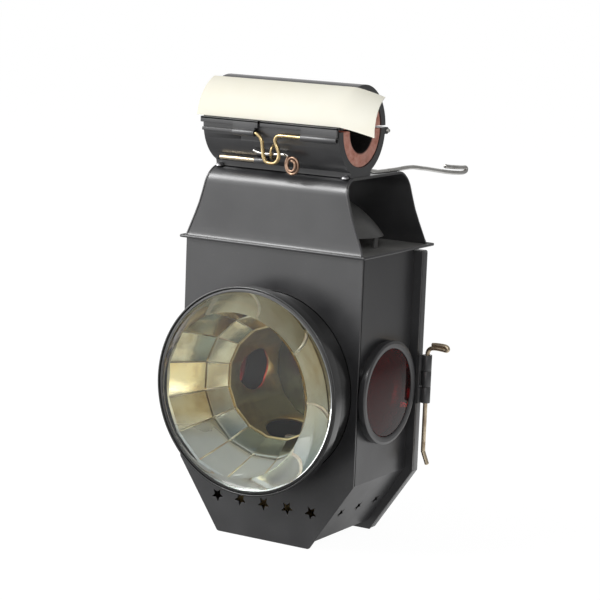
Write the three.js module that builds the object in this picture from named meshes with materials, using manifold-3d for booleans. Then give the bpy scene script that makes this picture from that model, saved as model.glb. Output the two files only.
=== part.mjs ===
// Bicycle hub lamp, an oil lamp that hangs on the hub of a high wheel.
// Units are millimetres. +X is the lamp's red lens side, +Y is the rear, +Z is up.
// The pieces are built from the front plate's lower edge upward, and the last
// step moves the origin to the middle of the hub that the clamp holds.
import * as THREE from 'three';
import * as BufferGeometryUtils from 'three/addons/utils/BufferGeometryUtils.js';
import Module from 'manifold-3d';

const wasm = await Module();
wasm.setup();

// Sheet metal and fits
const sheet = 0.8;
const plate = 1.0;
const seam = 0.1;
const cutGap = 0.3;
const hingeGap = 0.1;

// Lamp body
const bodyHalfWidth = 50;
const bodyHeight = 144.2;
const bodyDepth = 51;
const chamferHeight = 34.4;
const footHalfWidth = 26.5;
const footLip = 4.3;
const edgeReturn = 2.3;
const starSize = 3.2;
const starWaistShare = 0.42;
const starPitch = 13.5;
const starHeight = 18.2;
const sideStarPitch = 16.8;
const frontStarCount = 5;
const sideStarCount = 3;

// Rear frame and door
const frameReach = 3.7;
const frameLand = 4.5;
const frameThickness = 0.9;
const frameTopDrop = 1.0;
const doorDepth = 5;
const doorFieldRise = 1.6;
const doorFieldInset = 9;
const doorGap = 0.3;

// Door hinge and its wire pin
const hingeAxisOut = 6.8;
const hingeAxisBehind = 4.6;
const hingeLow = 67.8;
const hingeHigh = 91.7;
const knuckleRadius = 2.3;
const doorPinRadius = 0.8;
const pinReachBelow = 24.5;
const pinTipDrop = 6.4;
const pinTipOut = 2.6;
const pinNeck = 2.2;
const pinBend = 1.4;
const handleLength = 12.2;
const handlePitch = 1.8;

// Front lens
const lensHeight = 77;
const drumInset = 3.5;
const drumReach = 14.5;
const drumFlange = 1.5;
const drumLip = 2.2;
const bezelOverhang = 4.1;
const bezelDepth = 5.8;
const bezelBead = 1.0;
const lensOverhang = 1.7;
const lensEdge = 5.2;
const lensBevelWidth = 8.2;
const lensBevelDepth = 9.6;
const lensDome = 3;

// Side lenses
const sideBezelMargin = 0.3;
const sideBezelBead = 1.3;
const sideBezelReach = 3.1;
const collarFlange = 1.7;
const sideLensInset = 3.2;
const sideLensThickness = 2.4;
const sideLensShoulder = 2.2;
const sideLensDome = 0.8;
const sideWindowInset = 1.2;
const collarInside = 3.5;

// Reflector
const reflectorSides = 16;
const reflectorClearance = 0.7;
const reflectorMouthRoom = 0.5;
const reflectorWaistStep = 10.6;
const reflectorWaistDepth = 4.4;
const reflectorThroatStep = 7.2;
const reflectorThroatDepth = 12.4;
const reflectorBackStep = 3.2;
const reflectorRearRoom = 8.5;
const sideLightMargin = 6;
const flueRadius = 13;

// Oil font, burner and wick
const fontHalfWidth = 25;
const fontHeadroom = 0.8;
const fontRearRoom = 7;
const fontFront = 8;
const fontCorner = 5;
const fontWall = 0.7;
const burnerSeat = 9;
const burnerRadius = 11;
const burnerFoot = 3;
const burnerDome = 8;
const wickHalfWidth = 5.5;
const wickHalfThickness = 1;
const wickTubeWall = 0.6;
const wickTubeHeight = 16;
const wickShow = 3;
const winderRadius = 0.8;
const winderKnob = 4.2;
const winderKnobThickness = 1.6;
const winderReach = 20;
const fillerRadius = 4;
const fillerHeight = 3;
const fillerAside = 16;

// Roof
const eavesSide = 2.5;
const eavesFront = 2.9;
const eavesRear = 14.4;
const eavesRim = 0.8;
const rimHeight = 1.4;
const draughtRadius = 15;
const roofHeight = 36.1;
const roofFootOverhang = 0.2;
const roofTopHalfWidth = 38.7;
const roofFlareShare = 1.28;
const roofRearReach = 9.5;
const roofShoulder = 8;
const roofFootSpread = 1.4;
const roofSheet = 0.9;
const capHalfWidth = 41;
const capFrontRoom = 4;
const capRearRoom = 4.5;
const capRise = 20;
const capLift = 5.4;
const capRimAngle = 35;
const capFoot = 3;

// Hub clamp
const hubBehindFront = 15.3;
const hubAboveRoof = 22.4;
const clampHalfLength = 38;
const clampRadius = 21.6;
const clampWall = 4;
const linerWall = 6.9;
const linerRecess = 0.5;
const splitBelow = 0.2;
const splitGap = 1.1;
const saddleHalfWidth = 8.5;
const saddleFlare = 1.6;
const saddleFlareHeight = 1.9;
const saddleTop = 6;
const barrelRadius = 1.7;
const barrelWire = 0.9;
const frontAxisOut = 23.3;
const frontAxisDrop = 3.6;
const rearAxisOut = 23.6;
const rearAxisDrop = 1.4;
const knuckleGap = 0.3;
const lowerKnuckleLength = 18.4;
const upperKnuckleLength = 12.1;
const bailGapLength = 25.7;
const rearKnuckleLength = 15;
const stripThickness = 1.4;
const stripDrop = 2.4;
const stripRise = 1;
const slotWidth = 1.3;
const slotAside = 4.9;
const rivetRadius = 1.2;
const rivetHeight = 0.9;
const rivetAside = 35.5;
const rivetAhead = 10.6;

// Clasp: bail, staple ring, locking pin and bolt
const bailLength = 13.4;
const bailHalfWidth = 4.6;
const bailWaistHalfWidth = 3.4;
const bailAside = 2;
const bailGrip = 9;
const ringRadius = 3.4;
const ringWire = 0.6;
const ringDepthShare = 0.8;
const ringAside = 0.5;
const ringOut = 18.3;
const ringDrop = 12.1;
const lockWire = 0.75;
const lockOut = 19.6;
const lockDrop = 13.1;
const lockTip = 9.7;
const lockReach = 9.2;
const curlRadius = 3.3;
const curlDrop = 4.6;
const curlTurns = 1.15;
const boltRadius = 1.15;
const sleeveRadius = 1.6;
const boltDrop = 17.2;
const boltOut = 15.7;
const boltLeft = 31.9;
const sleeveLeft = 11.3;
const sleeveLength = 7.3;

// Wire arm
const armWire = 1.1;
const lugRadius = 1.9;
const lugLength = 16;
const armAside = 36.6;
const armBend = 3.6;
const armAxisBehind = 12.2;
const armRest = 42;
const armReach = 99;
const armSag = 6.6;
const armReturn = 24;
const armReturnPitch = 2.5;

// Paper label
const labelThickness = 0.3;
const labelLeft = 41.5;
const labelRight = 57;
const labelDroop = 3.4;
const labelDroopShare = 1.2;
const labelLowAngle = 7;
const labelHighAngle = 69;

// Facets
const roundSides = 48;
const smallSides = 32;
const barrelSides = 16;
const wireSides = 8;
const clampSides = 48;
const burnerSides = 24;
const knobSides = 12;
const ringSides = 24;
const capSides = 28;
const capBands = 28;
const domeRings = 6;
const sideDomeRings = 4;
const shoulderSteps = 5;
const flankSteps = 12;
const curlSteps = 12;
const labelColumns = 16;
const labelRows = 8;
const doorPinSteps = 44;
const bailSteps = 56;
const lockingPinSteps = 56;
const armSteps = 48;

// How tightly each wire follows its points, and other plain shares
const doorPinTensionShare = 0.2;
const bailTensionShare = 0.4;
const armTensionShare = 0.3;
const webShare = 0.7;
const lockStraightShare = 0.7;
const curlShrinkShare = 0.45;

// Derived sizes
const panelX = bodyHalfWidth - sheet - seam;
const panelFront = plate + seam;
const panelRear = bodyDepth - seam;
const frameRear = bodyDepth + frameThickness;
const doorFront = frameRear + doorGap;
const doorRear = doorFront + doorDepth;
const outlineX = bodyHalfWidth + frameReach;
const outlineTop = bodyHeight - frameTopDrop;
const chamferRun = bodyHalfWidth - footHalfWidth;
const chamferLength = Math.hypot(chamferRun, chamferHeight);
const deckLow = bodyHeight + seam;
const deckTop = deckLow + plate;
const cowlFoot = deckTop + seam;
const drumRadius = bodyHalfWidth - drumInset;
const drumFlangeRadius = drumRadius + drumFlange;
const bezelRadius = drumRadius + bezelOverhang;
const lensRadius = drumRadius + lensOverhang;
const reflectorMouth = drumRadius - sheet - reflectorClearance;
const fontTop = lensHeight - reflectorMouth - fontHeadroom;
const reflectorWaist = reflectorMouth - reflectorWaistStep;
const reflectorThroat = reflectorWaist - reflectorThroatStep;
const reflectorBack = reflectorThroat - reflectorBackStep;
const roofFootHalfWidth = bodyHalfWidth + roofFootOverhang;
const roofDepth = bodyDepth + roofRearReach;
const capHalfDepth = (roofDepth - capFrontRoom - capRearRoom) / 2;
const draughtDepth = capFrontRoom + capHalfDepth;
const sideLensDepth = bodyDepth / 2;
const sideBezelRadius = bodyDepth / 2 - sideBezelMargin;
const sideLensRadius = sideBezelRadius - sideLensInset;
const sideWindowRadius = sideLensRadius - sideWindowInset;
const roofTop = bodyHeight + roofHeight;
const hubHeight = roofTop + hubAboveRoof;
const frontAxisY = hubBehindFront - frontAxisOut;
const frontAxisZ = hubHeight - frontAxisDrop;
const rearAxisY = hubBehindFront + rearAxisOut;
const rearAxisZ = hubHeight - rearAxisDrop;
const linerRadius = clampRadius - clampWall - seam;
const boreRadius = linerRadius - linerWall;
const hingeX = bodyHalfWidth + hingeAxisOut;
const hingeY = bodyDepth + hingeAxisBehind;
const fontBase = footLip + sheet + seam;
const fontDepth = bodyDepth - fontFront - fontRearRoom;
const burnerY = fontFront + fontDepth / 2;

// Colours
const paint = { japan: 0x101012, brass: 0xa8894a, steel: 0xc8c8c8, leather: 0xc0705c };
paint.glass = 0xdfe8e2;
paint.red = 0x6a0d10;
paint.silver = 0xd9d2b8;
paint.paper = 0xf6f0dc;
paint.wick = 0xe6e0d0;

// Geometry helpers

function toSolid(geometry) {
  const bare = geometry.clone();
  bare.deleteAttribute('normal');
  bare.deleteAttribute('uv');
  const merged = BufferGeometryUtils.mergeVertices(bare);
  const position = merged.attributes.position.array;
  const triangles = Array.from(merged.index.array);
  if (signedVolume(position, triangles) < 0) {
    triangles.reverse();
  }
  const vertProperties = new Float32Array(position);
  const triVerts = new Uint32Array(triangles);
  return new wasm.Manifold(new wasm.Mesh({ numProp: 3, vertProperties, triVerts }));
}

function signedVolume(position, triangles) {
  let total = 0;
  const corner = [new THREE.Vector3(), new THREE.Vector3(), new THREE.Vector3()];
  for (let i = 0; i < triangles.length; i += 3) {
    corner.forEach((point, k) => point.fromArray(position, triangles[i + k] * 3));
    total += corner[0].dot(corner[1].cross(corner[2]));
  }
  return total;
}

function toGeometry(solid) {
  const mesh = solid.getMesh();
  const geometry = new THREE.BufferGeometry();
  geometry.setAttribute('position', new THREE.BufferAttribute(new Float32Array(mesh.vertProperties), 3));
  geometry.setIndex(new THREE.BufferAttribute(new Uint32Array(mesh.triVerts), 1));
  geometry.computeVertexNormals();
  return geometry;
}

function union(...solids) {
  return solids.reduce((whole, next) => whole.add(next));
}

function minus(solid, ...cuts) {
  return cuts.reduce((rest, cut) => rest.subtract(cut), solid);
}

function box(low, high) {
  const size = high.map((value, k) => value - low[k]);
  const geometry = new THREE.BoxGeometry(...size);
  geometry.translate(...high.map((value, k) => (value + low[k]) / 2));
  return toSolid(geometry);
}

// A rod lies along one axis, from one end to the other, through a centre in the other two
function rodX(radius, from, to, y, z, sides = smallSides) {
  const geometry = new THREE.CylinderGeometry(radius, radius, to - from, sides);
  geometry.rotateZ(Math.PI / 2);
  geometry.translate((from + to) / 2, y, z);
  return toSolid(geometry);
}

function rodY(radius, from, to, x, z, sides = roundSides) {
  const geometry = new THREE.CylinderGeometry(radius, radius, to - from, sides);
  geometry.translate(x, (from + to) / 2, z);
  return toSolid(geometry);
}

function rodZ(radius, from, to, x, y, sides = smallSides) {
  const geometry = new THREE.CylinderGeometry(radius, radius, to - from, sides);
  geometry.rotateX(Math.PI / 2);
  geometry.translate(x, y, (from + to) / 2);
  return toSolid(geometry);
}

// Turned round the Y axis from a closed profile of radius and place along Y
function turned(profile, x, z, sides = roundSides) {
  const points = profile.map(([radius, along]) => new THREE.Vector2(radius, along));
  const geometry = new THREE.LatheGeometry(points, sides);
  geometry.translate(x, 0, z);
  return toSolid(geometry);
}

// The outline is in X and Z, and the slab runs from one Y to the other
function slabY(outline, from, to) {
  const shape = new THREE.Shape(outline.map(([x, z]) => new THREE.Vector2(x, z)));
  const geometry = new THREE.ExtrudeGeometry(shape, { depth: to - from, bevelEnabled: false });
  geometry.rotateX(Math.PI / 2);
  geometry.translate(0, to, 0);
  return toSolid(geometry);
}

// The outline is in Y and Z, and the slab runs from one X to the other
function slabX(outline, from, to) {
  const shape = new THREE.Shape(outline.map(([y, z]) => new THREE.Vector2(y, z)));
  const geometry = new THREE.ExtrudeGeometry(shape, { depth: to - from, bevelEnabled: false });
  geometry.rotateX(Math.PI / 2);
  geometry.rotateZ(Math.PI / 2);
  geometry.translate(from, 0, 0);
  return toSolid(geometry);
}

function wire(points, radius, steps, tension) {
  const path = points.map((point) => new THREE.Vector3(...point));
  const curve = new THREE.CatmullRomCurve3(path, false, 'catmullrom', tension);
  const circle = new THREE.Shape();
  for (let i = 0; i < wireSides; i += 1) {
    const angle = (i / wireSides) * 2 * Math.PI;
    const spot = [radius * Math.cos(angle), radius * Math.sin(angle)];
    if (i === 0) {
      circle.moveTo(...spot);
    } else {
      circle.lineTo(...spot);
    }
  }
  circle.closePath();
  return toSolid(new THREE.ExtrudeGeometry(circle, { steps, extrudePath: curve, bevelEnabled: false }));
}

function mirrored(solid) {
  return solid.mirror([1, 0, 0]);
}

// The stars stand on one point
function starOutline(size) {
  const outline = [];
  for (let i = 0; i < 10; i += 1) {
    const reach = i % 2 === 0 ? size : size * starWaistShare;
    const angle = (i * Math.PI) / 5 - Math.PI / 2;
    outline.push([reach * Math.cos(angle), reach * Math.sin(angle)]);
  }
  return outline;
}

// Lamp body pieces

function hexagon(halfWidth, top, shoulder, footWidth, foot) {
  return [
    [-halfWidth, top],
    [-halfWidth, shoulder],
    [-footWidth, foot],
    [footWidth, foot],
    [halfWidth, shoulder],
    [halfWidth, top],
  ];
}

// The rear frame and the door share an outline that stands out past the body,
// and its corner comes from the chamfer line moved out by the same reach
function rearOutline(inset, foot) {
  const slope = chamferHeight / chamferRun;
  const shift = ((frameReach - inset) * chamferLength) / chamferHeight;
  const shoulderX = outlineX - inset;
  const shoulder = chamferHeight + (shoulderX - bodyHalfWidth - shift) * slope;
  const footX = bodyHalfWidth + shift - (chamferHeight - foot) / slope;
  return hexagon(shoulderX, outlineTop - inset, shoulder, footX, foot);
}

function frontPlate() {
  const outline = hexagon(bodyHalfWidth, bodyHeight, chamferHeight, footHalfWidth, 0);
  const face = slabY(outline, 0, plate);
  const returnLow = [panelX + seam, plate, chamferHeight];
  const returnHigh = [bodyHalfWidth, plate + edgeReturn, bodyHeight];
  const edge = box(returnLow, returnHigh);
  const holes = [rodY(drumRadius + cutGap, -plate, 2 * plate, 0, lensHeight)];
  for (let i = 0; i < frontStarCount; i += 1) {
    const aside = (i - (frontStarCount - 1) / 2) * starPitch;
    const star = starOutline(starSize).map(([x, z]) => [x + aside, z + starHeight]);
    holes.push(slabY(star, -plate, 2 * plate));
  }
  return minus(union(face, edge, mirrored(edge)), ...holes);
}

function panelProfile() {
  const footX = footHalfWidth + (chamferRun * footLip) / chamferHeight - seam;
  const innerShoulder = chamferHeight + sheet / 2;
  const innerFoot = footX - (sheet * chamferLength) / chamferHeight;
  return [
    [panelX, bodyHeight - seam],
    [panelX, chamferHeight],
    [footX, footLip],
    [innerFoot, footLip],
    [panelX - sheet, innerShoulder],
    [panelX - sheet, bodyHeight - seam],
  ];
}

function sideStar(along) {
  const geometry = new THREE.ExtrudeGeometry(
    new THREE.Shape(starOutline(starSize).map(([x, y]) => new THREE.Vector2(x, y))),
    { depth: 4 * starSize, bevelEnabled: false },
  );
  geometry.translate(0, 0, -2 * starSize);
  geometry.rotateX(Math.PI / 2);
  geometry.rotateZ(Math.PI / 2);
  geometry.rotateY(Math.atan2(chamferRun, chamferHeight));
  const aside = footHalfWidth + (chamferRun * starHeight) / chamferHeight;
  geometry.translate(aside, along, starHeight);
  return toSolid(geometry);
}

function sidePanel() {
  const skin = slabY(panelProfile(), panelFront, panelRear);
  const holes = [];
  const holeRadius = sideLensRadius + sheet + 2 * seam;
  holes.push(rodX(holeRadius, panelX - 2 * sheet, panelX + sheet, sideLensDepth, lensHeight));
  for (let i = 0; i < sideStarCount; i += 1) {
    const along = sideLensDepth + (i - (sideStarCount - 1) / 2) * sideStarPitch;
    holes.push(sideStar(along));
  }
  return minus(skin, ...holes);
}

function bottomPlate() {
  const profile = panelProfile();
  const halfWidth = profile[3][0] - seam;
  return box([-halfWidth, panelFront, footLip], [halfWidth, panelRear, footLip + sheet]);
}

function rearFrame() {
  const ring = slabY(rearOutline(0, 0), bodyDepth, frameRear);
  const window = rearOutline(frameReach + frameLand, footLip + frameLand);
  return minus(ring, slabY(window, bodyDepth - plate, frameRear + plate));
}

function doorTray() {
  const foot = doorGap;
  const outer = slabY(rearOutline(0, foot), doorFront, doorRear);
  const hollow = slabY(rearOutline(sheet, foot + sheet), doorFront - sheet, doorRear - sheet);
  const field = rearOutline(doorFieldInset, foot + doorFieldInset);
  const raised = slabY(field, doorRear - sheet, doorRear + doorFieldRise);
  const fieldInside = rearOutline(doorFieldInset + sheet, foot + doorFieldInset + sheet);
  const pressed = slabY(fieldInside, doorFront, doorRear + doorFieldRise - sheet);
  return minus(union(outer, raised), hollow, pressed);
}

// Door hinge pieces

function hingeKnuckle(from, to) {
  return rodZ(knuckleRadius, from, to, hingeX, hingeY, barrelSides);
}

function hingeBore() {
  const bore = doorPinRadius + hingeGap;
  return rodZ(bore, hingeLow - knuckleRadius, hingeHigh + knuckleRadius, hingeX, hingeY, barrelSides);
}

function hingeThird() {
  return (hingeHigh - hingeLow) / 3;
}

function frameHinge() {
  const third = hingeThird();
  const leafX = outlineX + seam + cutGap;
  const spans = [
    [hingeLow, hingeLow + third - knuckleGap / 2],
    [hingeHigh - third + knuckleGap / 2, hingeHigh],
  ];
  const pieces = spans.map(([from, to]) => {
    const low = [leafX, bodyDepth, from];
    const leaf = box(low, [leafX + plate, hingeY, to]);
    return union(leaf, hingeKnuckle(from, to));
  });
  const strap = box([outlineX + seam, bodyDepth, hingeLow], [leafX + plate, frameRear, hingeHigh]);
  return minus(union(strap, ...pieces), hingeBore());
}

function doorKnuckle() {
  const third = hingeThird();
  const from = hingeLow + third + knuckleGap / 2;
  const to = hingeHigh - third - knuckleGap / 2;
  const low = [outlineX + seam, hingeY - plate / 2, from];
  const leaf = box(low, [hingeX, hingeY + plate / 2, to]);
  return minus(union(leaf, hingeKnuckle(from, to)), hingeBore());
}

function doorPin() {
  const bendZ = hingeHigh + pinNeck;
  const handleZ = bendZ + pinBend;
  const returnZ = handleZ + handlePitch;
  const tipX = hingeX + handleLength;
  const lowZ = hingeLow - pinReachBelow;
  const points = [
    [hingeX + pinTipOut, hingeY, lowZ - pinTipDrop],
    [hingeX + pinTipOut / 3, hingeY, lowZ - pinTipDrop / 3],
    [hingeX, hingeY, lowZ],
    [hingeX, hingeY, hingeLow],
    [hingeX, hingeY, hingeHigh],
    [hingeX + pinBend / 3, hingeY, bendZ],
    [hingeX + 2 * pinBend, hingeY, handleZ],
    [tipX - pinBend, hingeY, handleZ],
    [tipX, hingeY, handleZ + handlePitch / 2],
    [tipX - pinBend, hingeY, returnZ],
    [hingeX + 2 * pinBend, hingeY, returnZ],
  ];
  return wire(points, doorPinRadius, doorPinSteps, doorPinTensionShare);
}

// Front lens pieces, each turned round the lens axis

function lensDrum() {
  const inner = drumRadius - sheet;
  const profile = [
    [inner, -drumReach],
    [drumRadius, -drumReach],
    [drumRadius, panelFront],
    [drumFlangeRadius, panelFront],
    [drumFlangeRadius, panelFront + sheet],
    [inner - drumLip, panelFront + sheet],
    [inner - drumLip, panelFront],
    [inner, panelFront],
    [inner, -drumReach],
  ];
  return turned(profile, 0, lensHeight);
}

function lensBezel() {
  const back = -drumReach - seam;
  const front = back - bezelDepth;
  const groove = back - sheet;
  const seat = lensRadius + cutGap;
  const beadIn = bezelRadius - 2 * bezelBead;
  const profile = [
    [drumRadius - 2 * sheet, back],
    [bezelRadius - bezelBead, back],
    [bezelRadius, back - bezelBead / 2],
    [bezelRadius, front + bezelBead],
    [bezelRadius - bezelBead / 2, front],
    [beadIn + bezelBead / 2, front],
    [beadIn, front + bezelBead],
    [seat, front + bezelBead],
    [seat, groove],
    [drumRadius - 2 * sheet, groove],
    [drumRadius - 2 * sheet, back],
  ];
  return turned(profile, 0, lensHeight);
}

function frontLens() {
  const back = -drumReach - seam - sheet - seam;
  const edge = back - lensEdge;
  const rim = edge - lensBevelDepth;
  const rimRadius = lensRadius - lensBevelWidth;
  const profile = [
    [0, back],
    [lensRadius, back],
    [lensRadius, edge],
    [rimRadius, rim],
  ];
  const rings = domeRings - 1;
  for (let i = 1; i < rings; i += 1) {
    const share = 1 - i / rings;
    profile.push([rimRadius * share, rim - lensDome * (1 - share * share)]);
  }
  profile.push([0, rim - lensDome]);
  return turned(profile, 0, lensHeight);
}

// Side lens pieces: turned round Y first, then laid over to X

function toSide(solid) {
  const laid = solid.rotate([0, 0, -90]);
  return laid.translate([0, sideLensDepth, lensHeight]);
}

function sideCollar() {
  const inner = sideLensRadius + seam;
  const outer = inner + sheet;
  const start = panelX - collarInside;
  const face = panelX + seam;
  const end = bodyHalfWidth + seam;
  const profile = [
    [inner, start],
    [outer, start],
    [outer, face],
    [outer + collarFlange, face],
    [outer + collarFlange, end],
    [inner, end],
    [inner, start],
  ];
  const foldLow = [panelX, 0, chamferHeight];
  const foldHigh = [bodyHalfWidth + plate, plate + edgeReturn + cutGap, bodyHeight];
  return minus(toSide(turned(profile, 0, 0, smallSides)), box(foldLow, foldHigh));
}

function sideBezel() {
  const back = bodyHalfWidth + 2 * seam;
  const front = back + sideBezelReach;
  const lip = front - sideBezelBead;
  const beadIn = sideBezelRadius - 2 * sideBezelBead;
  const profile = [
    [sideWindowRadius, back],
    [sideBezelRadius - sideBezelBead / 2, back],
    [sideBezelRadius, back + sideBezelBead / 2],
    [sideBezelRadius, front - sideBezelBead],
    [sideBezelRadius - sideBezelBead / 2, front],
    [beadIn + sideBezelBead / 2, front],
    [beadIn, front - sideBezelBead / 2],
    [sideWindowRadius, lip],
    [sideWindowRadius, back],
  ];
  return toSide(turned(profile, 0, 0, smallSides));
}

function sideLens() {
  const face = bodyHalfWidth + seam;
  const back = face - sideLensThickness;
  const dome = face + sideLensShoulder;
  const rings = sideDomeRings;
  const profile = [
    [0, back],
    [sideLensRadius, back],
    [sideLensRadius, face],
    [sideWindowRadius - seam, face],
    [sideWindowRadius - seam, dome],
  ];
  for (let i = 1; i < rings; i += 1) {
    const share = 1 - i / rings;
    profile.push([(sideWindowRadius - seam) * share, dome + sideLensDome * (1 - share * share)]);
  }
  profile.push([0, dome + sideLensDome]);
  return toSide(turned(profile, 0, 0, smallSides));
}

function sideLensRing() {
  const back = bodyHalfWidth - sideLensThickness;
  const inner = sideLensRadius - sheet;
  const profile = [
    [inner, back - sheet],
    [sideLensRadius, back - sheet],
    [sideLensRadius, back],
    [inner, back],
    [inner, back - sheet],
  ];
  return toSide(turned(profile, 0, 0, smallSides));
}

// Reflector and lamp inside

function reflector() {
  const reflectorFront = reflectorMouthRoom - drumReach;
  const rear = bodyDepth - reflectorRearRoom;
  const profile = [
    [reflectorMouth, reflectorFront],
    [reflectorMouth, reflectorFront + sheet],
    [reflectorWaist, reflectorWaistDepth],
    [reflectorThroat, reflectorThroatDepth],
    [reflectorBack, rear],
    [0, rear],
    [0, rear - sheet],
    [reflectorBack - sheet, rear - sheet],
    [reflectorThroat - sheet, reflectorThroatDepth],
    [reflectorWaist - sheet, reflectorWaistDepth],
    [reflectorMouth - 2 * sheet, reflectorFront],
    [reflectorMouth, reflectorFront],
  ];
  const cup = turned(profile, 0, lensHeight, reflectorSides);
  const holeRadius = (rear - reflectorThroatDepth) / 2 - sideLightMargin;
  const holeY = (reflectorThroatDepth + rear) / 2;
  const sideLight = rodX(holeRadius, -bodyHalfWidth, bodyHalfWidth, holeY, lensHeight);
  const flue = rodZ(flueRadius, fontTop, bodyHeight, 0, burnerY);
  return minus(cup, sideLight, flue);
}

function fontOutline(inset) {
  const halfWidth = fontHalfWidth - inset;
  const corner = fontCorner;
  const front = fontFront + inset;
  const rear = fontFront + fontDepth - inset;
  return [
    [-halfWidth + corner, front],
    [halfWidth - corner, front],
    [halfWidth, front + corner],
    [halfWidth, rear - corner],
    [halfWidth - corner, rear],
    [-halfWidth + corner, rear],
    [-halfWidth, rear - corner],
    [-halfWidth, front + corner],
  ];
}

function slabZ(outline, from, to) {
  const shape = new THREE.Shape(outline.map(([x, y]) => new THREE.Vector2(x, y)));
  const geometry = new THREE.ExtrudeGeometry(shape, { depth: to - from, bevelEnabled: false });
  geometry.translate(0, 0, from);
  return toSolid(geometry);
}

function oilFont() {
  const shell = slabZ(fontOutline(0), fontBase, fontTop);
  const inside = slabZ(fontOutline(fontWall), fontBase + fontWall, fontTop - fontWall);
  const neckTop = fontTop + fillerHeight;
  const neck = rodZ(fillerRadius, fontTop - fontWall, neckTop, fillerAside, burnerY, barrelSides);
  const neckBore = rodZ(
    fillerRadius - fontWall,
    fontTop - 2 * fontWall,
    fontTop + 2 * fillerHeight,
    fillerAside,
    burnerY,
    barrelSides,
  );
  const seat = rodZ(burnerSeat, fontTop - 2 * fontWall, fontTop + fontWall, 0, burnerY, barrelSides);
  return minus(union(shell, neck), inside, neckBore, seat);
}

function fillerCap() {
  const low = fontTop + fillerHeight + seam;
  const lid = rodZ(fillerRadius + fontWall, low, low + 2 * fontWall, fillerAside, burnerY, barrelSides);
  const plugRadius = fillerRadius - fontWall - seam;
  const plug = rodZ(plugRadius, fontTop, low + fontWall, fillerAside, burnerY, barrelSides);
  return union(lid, plug);
}

function wickSlot(extra) {
  const halfX = wickHalfWidth + extra;
  const halfY = wickHalfThickness + extra;
  return { low: [-halfX, burnerY - halfY], high: [halfX, burnerY + halfY] };
}

function burner() {
  const low = fontTop + seam;
  const foot = rodZ(burnerRadius, low, low + burnerFoot, 0, burnerY, burnerSides);
  const geometry = new THREE.CylinderGeometry(
    wickHalfWidth + wickTubeWall,
    burnerRadius - wickTubeWall,
    burnerDome,
    burnerSides,
  );
  geometry.rotateX(Math.PI / 2);
  geometry.translate(0, burnerY, low + burnerFoot + burnerDome / 2);
  const tube = wickSlot(wickTubeWall);
  const tubeTop = low + wickTubeHeight;
  const wickTube = box([...tube.low, low + burnerFoot], [...tube.high, tubeTop]);
  const bore = wickSlot(seam);
  const slot = box([...bore.low, low - burnerFoot], [...bore.high, tubeTop + burnerFoot]);
  const shaftHole = rodY(
    winderRadius + hingeGap,
    burnerY + wickHalfThickness,
    burnerY + winderReach,
    0,
    winderHeight(),
    barrelSides,
  );
  return minus(union(foot, toSolid(geometry), wickTube), slot, shaftHole);
}

function winderHeight() {
  return fontTop + seam + burnerFoot + winderKnob / 2;
}

function wick() {
  const cloth = wickSlot(0);
  const top = fontTop + seam + wickTubeHeight + wickShow;
  return box([...cloth.low, fontBase + 2 * fontWall], [...cloth.high, top]);
}

function wickWinder() {
  const start = burnerY + wickHalfThickness + cutGap;
  const end = burnerY + winderReach;
  const shaft = rodY(winderRadius, start, end, 0, winderHeight(), barrelSides);
  const knobStart = end - winderKnobThickness;
  const knob = rodY(winderKnob, knobStart, end, 0, winderHeight(), knobSides);
  return union(shaft, knob);
}

// Roof pieces

function roofDeck() {
  const left = -bodyHalfWidth - eavesSide;
  const right = bodyHalfWidth + eavesSide;
  const front = -eavesFront;
  const rear = bodyDepth + eavesRear;
  const slab = box([left, front, deckLow], [right, rear, deckLow + rimHeight]);
  const well = box(
    [left + eavesRim, front + eavesRim, deckTop],
    [right - eavesRim, rear - eavesRim, deckTop + rimHeight],
  );
  const draught = rodZ(draughtRadius, deckLow - plate, deckTop + plate, 0, draughtDepth);
  return minus(slab, well, draught);
}

function cowlProfile(inset) {
  const steps = shoulderSteps;
  const shoulder = roofShoulder - inset;
  const footFront = -roofFootSpread / 2 + inset;
  const footRear = roofDepth + roofFootSpread - inset;
  const arcZ = roofTop - roofShoulder;
  const waist = (cowlFoot + arcZ) / 2;
  const profile = [
    [footFront, cowlFoot],
    [(footFront + inset) / 2, (cowlFoot + waist) / 2],
    [inset, waist],
  ];
  for (let i = 0; i <= steps; i += 1) {
    const angle = (i / steps) * (Math.PI / 2);
    profile.push([roofShoulder - shoulder * Math.cos(angle), arcZ + shoulder * Math.sin(angle)]);
  }
  for (let i = 0; i <= steps; i += 1) {
    const angle = (i / steps) * (Math.PI / 2);
    const y = roofDepth - roofShoulder + shoulder * Math.sin(angle);
    profile.push([y, arcZ + shoulder * Math.cos(angle)]);
  }
  profile.push([roofDepth - inset, waist]);
  profile.push([(footRear + roofDepth - inset) / 2, (cowlFoot + waist) / 2]);
  profile.push([footRear, cowlFoot]);
  return profile;
}

function roofCowl() {
  const outer = cowlProfile(0);
  const inner = cowlProfile(roofSheet).reverse();
  const sheetBody = slabX([...outer, ...inner], -roofFootHalfWidth, roofFootHalfWidth);
  const steps = flankSteps;
  const edge = [];
  for (let i = 0; i <= steps; i += 1) {
    const share = i / steps;
    const spread = (roofFootHalfWidth - roofTopHalfWidth) * (1 - share) ** roofFlareShare;
    edge.push([roofTopHalfWidth + spread, cowlFoot + (roofTop - cowlFoot) * share]);
  }
  const left = edge.map(([x, z]) => [-x, z]).reverse();
  const lift = roofSheet;
  const top = [[roofTopHalfWidth, roofTop + lift], [-roofTopHalfWidth, roofTop + lift]];
  const outline = [[-roofFootHalfWidth, cowlFoot - lift], [roofFootHalfWidth, cowlFoot - lift]];
  const flank = slabY([...outline, ...edge, ...top, ...left], -roofDepth, 2 * roofDepth);
  return sheetBody.intersect(flank);
}

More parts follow.
